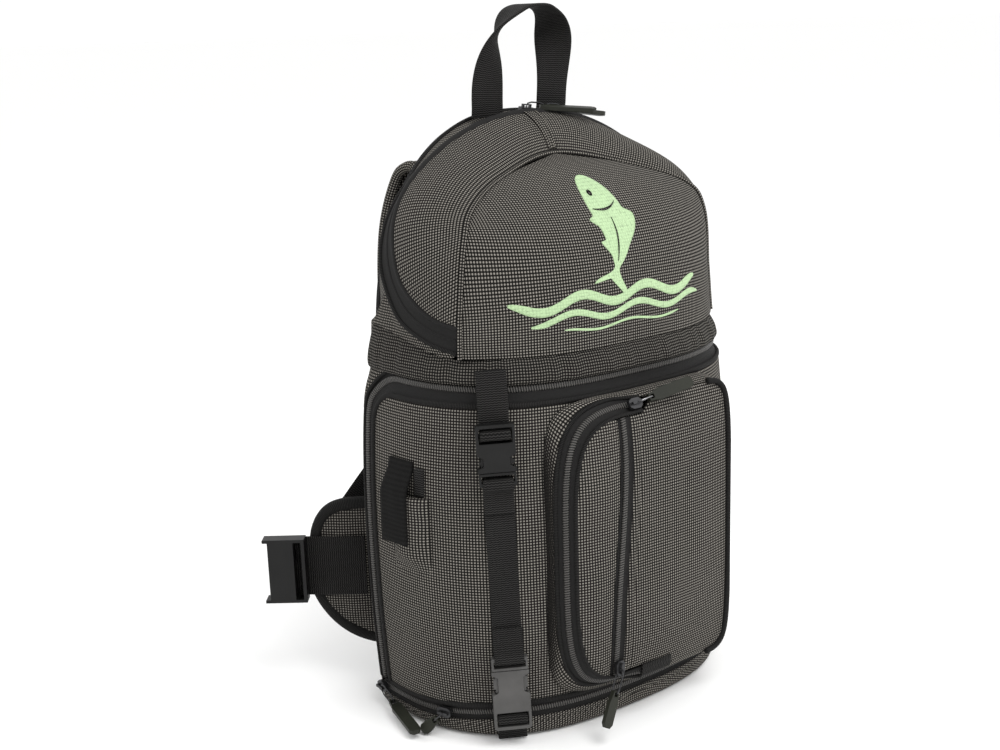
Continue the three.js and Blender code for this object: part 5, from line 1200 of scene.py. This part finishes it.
# A pad swells like stuffed cloth: voxel remesh, cloth with pressure, each point's move capped, then smoothed.
def puffed(name, front, back, look, flipped, stands):
    mesh = bpy.data.meshes.new(name)
    both = np.concatenate([front.reshape(-1, 3), back.reshape(-1, 3)])
    mesh.from_pydata((both / 1000).tolist(), [], closedFaces(*front.shape[:2]).tolist())

    def joinEdges(form):
        bmesh.ops.remove_doubles(form, verts=form.verts, dist=1e-5)
        bmesh.ops.recalc_face_normals(form, faces=form.faces)

    edited(mesh, joinEdges)
    piece = addObject(name, mesh)
    bpy.context.view_layer.objects.active = piece
    grain = piece.modifiers.new("grain", "REMESH")
    grain.mode, grain.voxel_size = "VOXEL", puff["voxel"] / 1000
    bpy.ops.object.modifier_apply(modifier="grain")
    rest = placesOf(piece.data)
    swell = piece.modifiers.new("swell", "CLOTH")
    swell.settings.use_pressure = True
    swell.settings.uniform_pressure_force = puff["pressure"]
    swell.settings.effector_weights.gravity = 0
    swell.settings.quality = 5
    swell.point_cache.frame_end = puff["frames"]
    for number in range(1, puff["frames"] + 1):
        bpy.context.scene.frame_set(number)
    bpy.ops.object.modifier_apply(modifier="swell")
    bpy.context.scene.frame_set(1)
    step = placesOf(piece.data) - rest
    size = np.linalg.norm(step, axis=1, keepdims=True)
    step = step * np.minimum(1, puff["cap"] / 1000 / np.maximum(size, 1e-9))
    piece.data.vertices.foreach_set("co", (rest + step).ravel())
    if flipped:
        def flip(form):
            for vertex in form.verts:
                vertex.co.x = -vertex.co.x
            bmesh.ops.recalc_face_normals(form, faces=form.faces)

        edited(piece.data, flip)
    piece.data.materials.clear()
    piece.data.materials.append(look[0])
    finer = piece.modifiers.new("finer", "SUBSURF")
    finer.levels = finer.render_levels = 1
    dress(piece, stands)


wing = {"rootX": 119.7, "rootY": 79.4, "turn": 0.666, "length": 63.5, "middle": 96, "half": 62, "thickness": 12,
        "webWidth": 50,
        "webStart": 17, "webEnd": 75.5, "webRise": 8, "binding": 5}
wingRun = np.array([-math.cos(wing["turn"]), math.sin(wing["turn"]), 0])
wingOut = np.array([-math.sin(wing["turn"]), -math.cos(wing["turn"]), 0])


def wingPoint(along, up, out):
    place = points(along, out, up)
    return np.array([-wing["rootX"], wing["rootY"], wing["middle"]]) + place @ np.array([wingRun, wingOut, [0, 0, 1]])


def wingTop(share):
    return wing["half"] * (1 - share ** 5) ** 0.4


def wingFoot(share):
    return -wing["half"] * (1 - 0.55 * share ** 2) * (1 - share ** 6) ** 0.4


u, v = grid(40, 50)
wingShare = u * 0.985
upward = mix(wingFoot(wingShare), wingTop(wingShare), v)
padHalf = wing["thickness"] / 2 * mix(1, 0.55, wingShare ** 3) * (1 - np.abs(2 * v - 1) ** 5 * 0.6) - 1.2
wingFaces = [wingPoint(wingShare * wing["length"], upward, out) for out in (padHalf, -padHalf)]
wingLooks = [(weaveMaterial("wing_weave" + end, turn, 0.8), "weave")
             for end, turn in (("", wing["turn"]), ("_right", -wing["turn"]))]
for word, flipped, look in (("left", False, wingLooks[0]), ("right", True, wingLooks[1])):
    puffed(f"hip_pad_{word}", *wingFaces, look, flipped, f"hip_wing_{word}")

# Wide binding round the wing's edge, from the root over the top, round the tip and back along the foot.
out, back = np.linspace(0, 0.94, 40), np.linspace(0.94, 0, 40)
tip = points(0.985 * wing["length"], np.linspace(wingTop(0.985), wingFoot(0.985), 20))
rimFlat = [points(out * wing["length"], wingTop(out)), tip, points(back * wing["length"], wingFoot(back))]
rimFlat = np.concatenate(rimFlat)
rimFlat = evenly(rimFlat, 200)
rimCentre = wingPoint(rimFlat[:, 0], rimFlat[:, 1], 0)
rimSide = unit(np.cross(runOf(rimCentre), wingOut))
rimSide = rimSide * np.sign(np.sum(rimSide * (rimCentre - wingPoint(20, 0, 0)), -1, keepdims=True))
angle = np.linspace(0, 2 * math.pi, 25)[:-1]
rimProfile = points(np.cos(angle) * wing["binding"] - wing["binding"] * 0.65, signed(np.sin(angle), 0.7) * 5.2)
u, v = grid(60, 40)
along, rise = mix(wing["webStart"], wing["webEnd"], u), (v - 0.5) * wing["webWidth"]
stitches = bell(np.abs(rise) - wing["webWidth"] / 2 + 3, 0.7) + bell(along - wing["webStart"] - 3, 0.7)
webLift = wing["thickness"] / 2 + 2.9 - 2.2 * smooth(40, wing["length"] + 8, along) - 0.45 * stitches
for word, flip in (("left", 1), ("right", mirror)):
    rimOut = np.broadcast_to(wingOut * flip, rimCentre.shape)
    carry(f"hip_binding_{word}", rimCentre * flip, rimSide * flip, rimOut, rimProfile, blackBinding, lean=False)
    surface = wingPoint(along, wing["webRise"] + rise, webLift) * flip
    makeCloth(f"hip_web_{word}", surface, points(rise, along) / 1000, 1.8, blackWeb, -wingOut * flip,
              f"hip_webbing_{word}", lean=False)
print("hip wings: made")

# Back panel: a crowned pad with two upright channels and three cross ones.
backPad = {"bottom": 8, "pad": 11, "edge": 6, "middle": 225, "channels": (-40, 40), "cross": (120, 225, 330)}
leg = points(bag["backHalfWidth"], backFace, np.linspace(backPad["bottom"], 286, 40))
arch = backEdge(np.linspace(0, 1, 110))
footLine = points(np.linspace(-1, 1, 60) * bag["backHalfWidth"], backFace, backPad["bottom"])
loop = evenly(np.concatenate([leg, arch, (arch * mirror)[::-1][1:], (leg * mirror)[::-1], footLine[1:]]), 420)
shares = np.sin(np.linspace(0, math.pi / 2, 64))
middle = np.array([0, backFace, backPad["middle"]])
flatBack = middle + (loop - middle)[:, None] * shares[:, None] * 0.998
swell = mix(backPad["edge"], backPad["pad"], np.sqrt(np.maximum(0, 1 - shares ** 4)))
grooves = sum(bell(flatBack[..., 0] - x, 4.0) for x in backPad["channels"])
grooves = grooves + sum(bell(flatBack[..., 2] - z + 0.0016 * flatBack[..., 0] ** 2, 3.6) for z in backPad["cross"])
grooves = np.minimum(1, grooves) * smooth(1.0, 0.86, shares)
rear = flatBack + np.array([0, 1, 0]) * (seam + swell - 4.5 * grooves)[..., None]
fore = flatBack + np.array([0, seam, 0])
shell = np.concatenate([fore[:, :1], rear, fore[:, ::-1]], axis=1)
backPiece = makePiece("back_pad", shell, quads(*shell.shape[:2]), shell[..., [0, 2]] / 1000, spacerMesh, "back_panel")

# Shoulder straps: share along, out, back and up.
shoulderRows = [(0, 45, 4.9, 396), (0.08, 46, 8, 410), (0.15, 48, 16, 417), (0.24, 52, 29, 407), (0.42, 58, 39, 362),
                (0.7, 59, 39, 284), (1, 62, 28, 216)]
shoulder = {"width": 58, "endWidth": 46, "thickness": 9, "webWidth": 22, "off": 12, "binding": 4.6}


def shoulderPoint(at):
    back = backFace + shoulder["off"] + follow(shoulderRows, at, 2)
    return points(-follow(shoulderRows, at, 1), back, follow(shoulderRows, at, 3))


at = np.linspace(0, 1, 90)
centre = shoulderPoint(at)
run = unit(shoulderPoint(np.minimum(1, at + 0.02)) - shoulderPoint(np.maximum(0, at - 0.02)))
raw = np.array([1.0, 0, 0])
side = unit(raw - run * (run @ raw)[:, None])
up = np.cross(run, side)
width = mix(shoulder["width"], shoulder["endWidth"], at)
share = np.linspace(-0.5, 0.5, 24)
crown = (shoulder["thickness"] / 2 * (0.42 + 0.58 * (1 - (np.abs(share) * 2) ** 4) ** 0.5) - 0.8)[:, None]
face = centre[:, None] + side[:, None] * (width[:, None] * share)[..., None]
strapFaces = [face + up[:, None] * crown, face - up[:, None] * crown]
webEnd, webStart = np.array([-139.189, 102.344, 146]), np.array([-64, 111, 207.0])
webPath = throughPoints([webStart, (webStart + webEnd) / 2 + np.array([0, 2.5, 0]), webEnd], 60)
webRun = runOf(webPath)
look = unit(mix(np.array([0, 1.0, 0]), -wingOut, np.linspace(0, 1, 60)[:, None]))
webSide = unit(np.cross(webRun, look))
webUp = np.cross(webSide, webRun)
for word, flip in (("left", 1), ("right", mirror)):
    flipped = word == "right"
    # the right pad is mirrored last, so its lean is taken off here and comes back the same way round
    padFaces = [2 * face - leaning(face) if flipped else leaning(face) for face in strapFaces]
    puffed(f"shoulder_pad_{word}", *padFaces, shoulderCloth, flipped, f"shoulder_strap_{word}")
    for edgeName, way, edgeLook in (("inner", 1, blackBinding), ("outer", -1, (cloth[0], "binding"))):
        path = centre + side * (way * (width / 2 - 1.4))[:, None]
        carry(f"shoulder_binding_{edgeName}_{word}", path * flip, side * flip, up * flip,
              roundProfile(shoulder["binding"], 14, 0.95), edgeLook)
    carry(f"shoulder_web_{word}", webPath * flip, webSide * flip, webUp * flip,
          bandProfile(shoulder["webWidth"], 1.8), blackWeb,
          f"shoulder_webbing_{word}", lean=False)
print("back and shoulder straps: made")

# ---- print on the lid: a plain leaping fish over three waves, laid on the cloth
printSetup = {"fishX": -14, "fishTop": 413, "fishLength": 78, "fishHalf": 15, "bend": 9, "tilt": 8, "tailHalf": 15,
              "thickness": 0.4}
printGap = weaveMaterial("print_gap", shade=0.35), "weave"


# Place on the finished panel: the row of its grid whose middle has this height, then the share across.
def onPanel(x, z):
    upTable = np.linspace(lidPanel["foot"], 1, 400)
    up = np.interp(z, lidPoint(panelMiddleRows, upTable)[:, 2], upTable)
    across = x / np.interp(up, upTable, lidPoint(panelEdgeRows, upTable)[:, 0])
    i = (across + 1) / 2 * (lidPanel["steps"] - 1)
    j = (up - lidPanel["foot"]) / (1 - lidPanel["foot"]) * (lidPanel["steps"] - 1)
    a, b = np.floor(i).astype(int), np.floor(j).astype(int)
    s, t = (i - a)[..., None], (j - b)[..., None]
    low, high = (mix(panelSurface[a, k], panelSurface[a + 1, k], s) for k in (b, b + 1))
    return mix(low, high, t)


def printPatch(name, x, z, look=greenPrint, lift=0.25):
    surface = onPanel(x, z)
    surface = surface - inward(surface) * lift
    makeCloth(name, surface, points(x, z) / 1000, printSetup["thickness"], look, inward(surface))


# Middle line of the fish, nose up: x = bend * sin(pi t) + tilt * (1/2 - t), straight down its length in z.
def fishPlace(t, off):
    x = printSetup["fishX"] + printSetup["bend"] * np.sin(math.pi * t) + printSetup["tilt"] * (0.5 - t)
    slope = (printSetup["bend"] * math.pi * np.cos(math.pi * t) - printSetup["tilt"]) / printSetup["fishLength"]
    return x + off, printSetup["fishTop"] - t * printSetup["fishLength"] + off * slope


# A hump that rises from one share to the next and falls to the last.
def hump(t, start, top, end):
    return smooth(start, top, t) * (1 - smooth(top, end, t))


# Its body: round at the nose, widest at t = 0.3, falling as 1 - ((t - 0.3) / 0.53)^1.8 to an open tail. Fins rise
# quickly and fall slowly on both sides.
t, v = grid(160, 15)
nose = np.sqrt(np.clip(1 - ((0.3 - t) / 0.3) ** 2.1, 0, 1))
bodyShare = np.where(t < 0.3, nose, 1 - np.clip((t - 0.3) / 0.53, 0, 1) ** 1.8)
fishHalf = np.maximum(printSetup["fishHalf"] * bodyShare, np.where(t > 0.7, 2.2, 0.1))
fishHalf = fishHalf + smooth(0.8, 1.0, t) * (printSetup["tailHalf"] - 2)
across = mix(-1, 1, v)
lowFins = 5.5 * hump(t, 0.56, 0.6, 0.72) + 5 * hump(t, 0.3, 0.34, 0.45)
fins = np.where(across > 0, 7.5 * hump(t, 0.3, 0.37, 0.62), lowFins)
fishX, fishZ = fishPlace(t, across * (fishHalf + fins))
printPatch("print_fish", fishX, fishZ + 9.0 * smooth(0.84, 1.0, t) * (1 - np.abs(across)))
# Eye, gill and side line: gaps in the print, in the cloth's dark ground.
turn, r = grid(25, 3)
eyeX, eyeZ = fishPlace(np.full_like(turn, 0.13), -4.2)
eyeTurn, eyeReach = turn * 2 * math.pi, 0.05 + 1.9 * r
printPatch("print_eye", eyeX + np.cos(eyeTurn) * eyeReach, eyeZ + np.sin(eyeTurn) * eyeReach, printGap, 0.7)
t, v = grid(30, 3)
thin = np.sin(math.pi * mix(0.06, 0.94, t))
gillX, gillZ = fishPlace(0.25 + 0.035 * (1 - (2 * t - 1) ** 2), mix(-0.78, 0.78, t) * printSetup["fishHalf"])
printPatch("print_gill", gillX, gillZ + mix(-0.75, 0.75, v) * thin, printGap, 0.7)
printPatch("print_side_line", *fishPlace(mix(0.36, 0.74, t), mix(-0.55, 0.55, v) * thin), printGap, 0.7)
# Waves: z = a * sin(x / w), each with its own height, thickness and length.
# middle height, rise, thickness, left end and right end of each wave
waveRows = [(332, 4.2, 3.4, -98, 72), (321, 3.4, 2.4, -84, 76), (311, 1.6, 0.9, -60, 50)]
for k, (middle, rise, thick, low, high) in enumerate(waveRows):
    t, v = grid(160, 5)
    waveX = mix(low, high, t)
    taper = np.sqrt(np.minimum(1, np.minimum(t, 1 - t) * 14 + 0.05))
    waveZ = middle + rise * np.sin(waveX / 9.5 + k * 0.8) + mix(-1, 1, v) * thick * taper
    printPatch(f"print_wave_{k + 1}", waveX, waveZ)
print("print: made")

# ---- floor
floorMesh = bpy.data.meshes.new("floor")
floorMesh.from_pydata([(-60, -60, 0), (60, -60, 0), (60, 60, 0), (-60, 60, 0)], [], [(0, 1, 2, 3)])
floor = addObject("floor", floorMesh)
floor.data.materials.append(newMaterial("pale_floor", studio["floor"], 0.9)[0])
floor.location.z = -0.0003
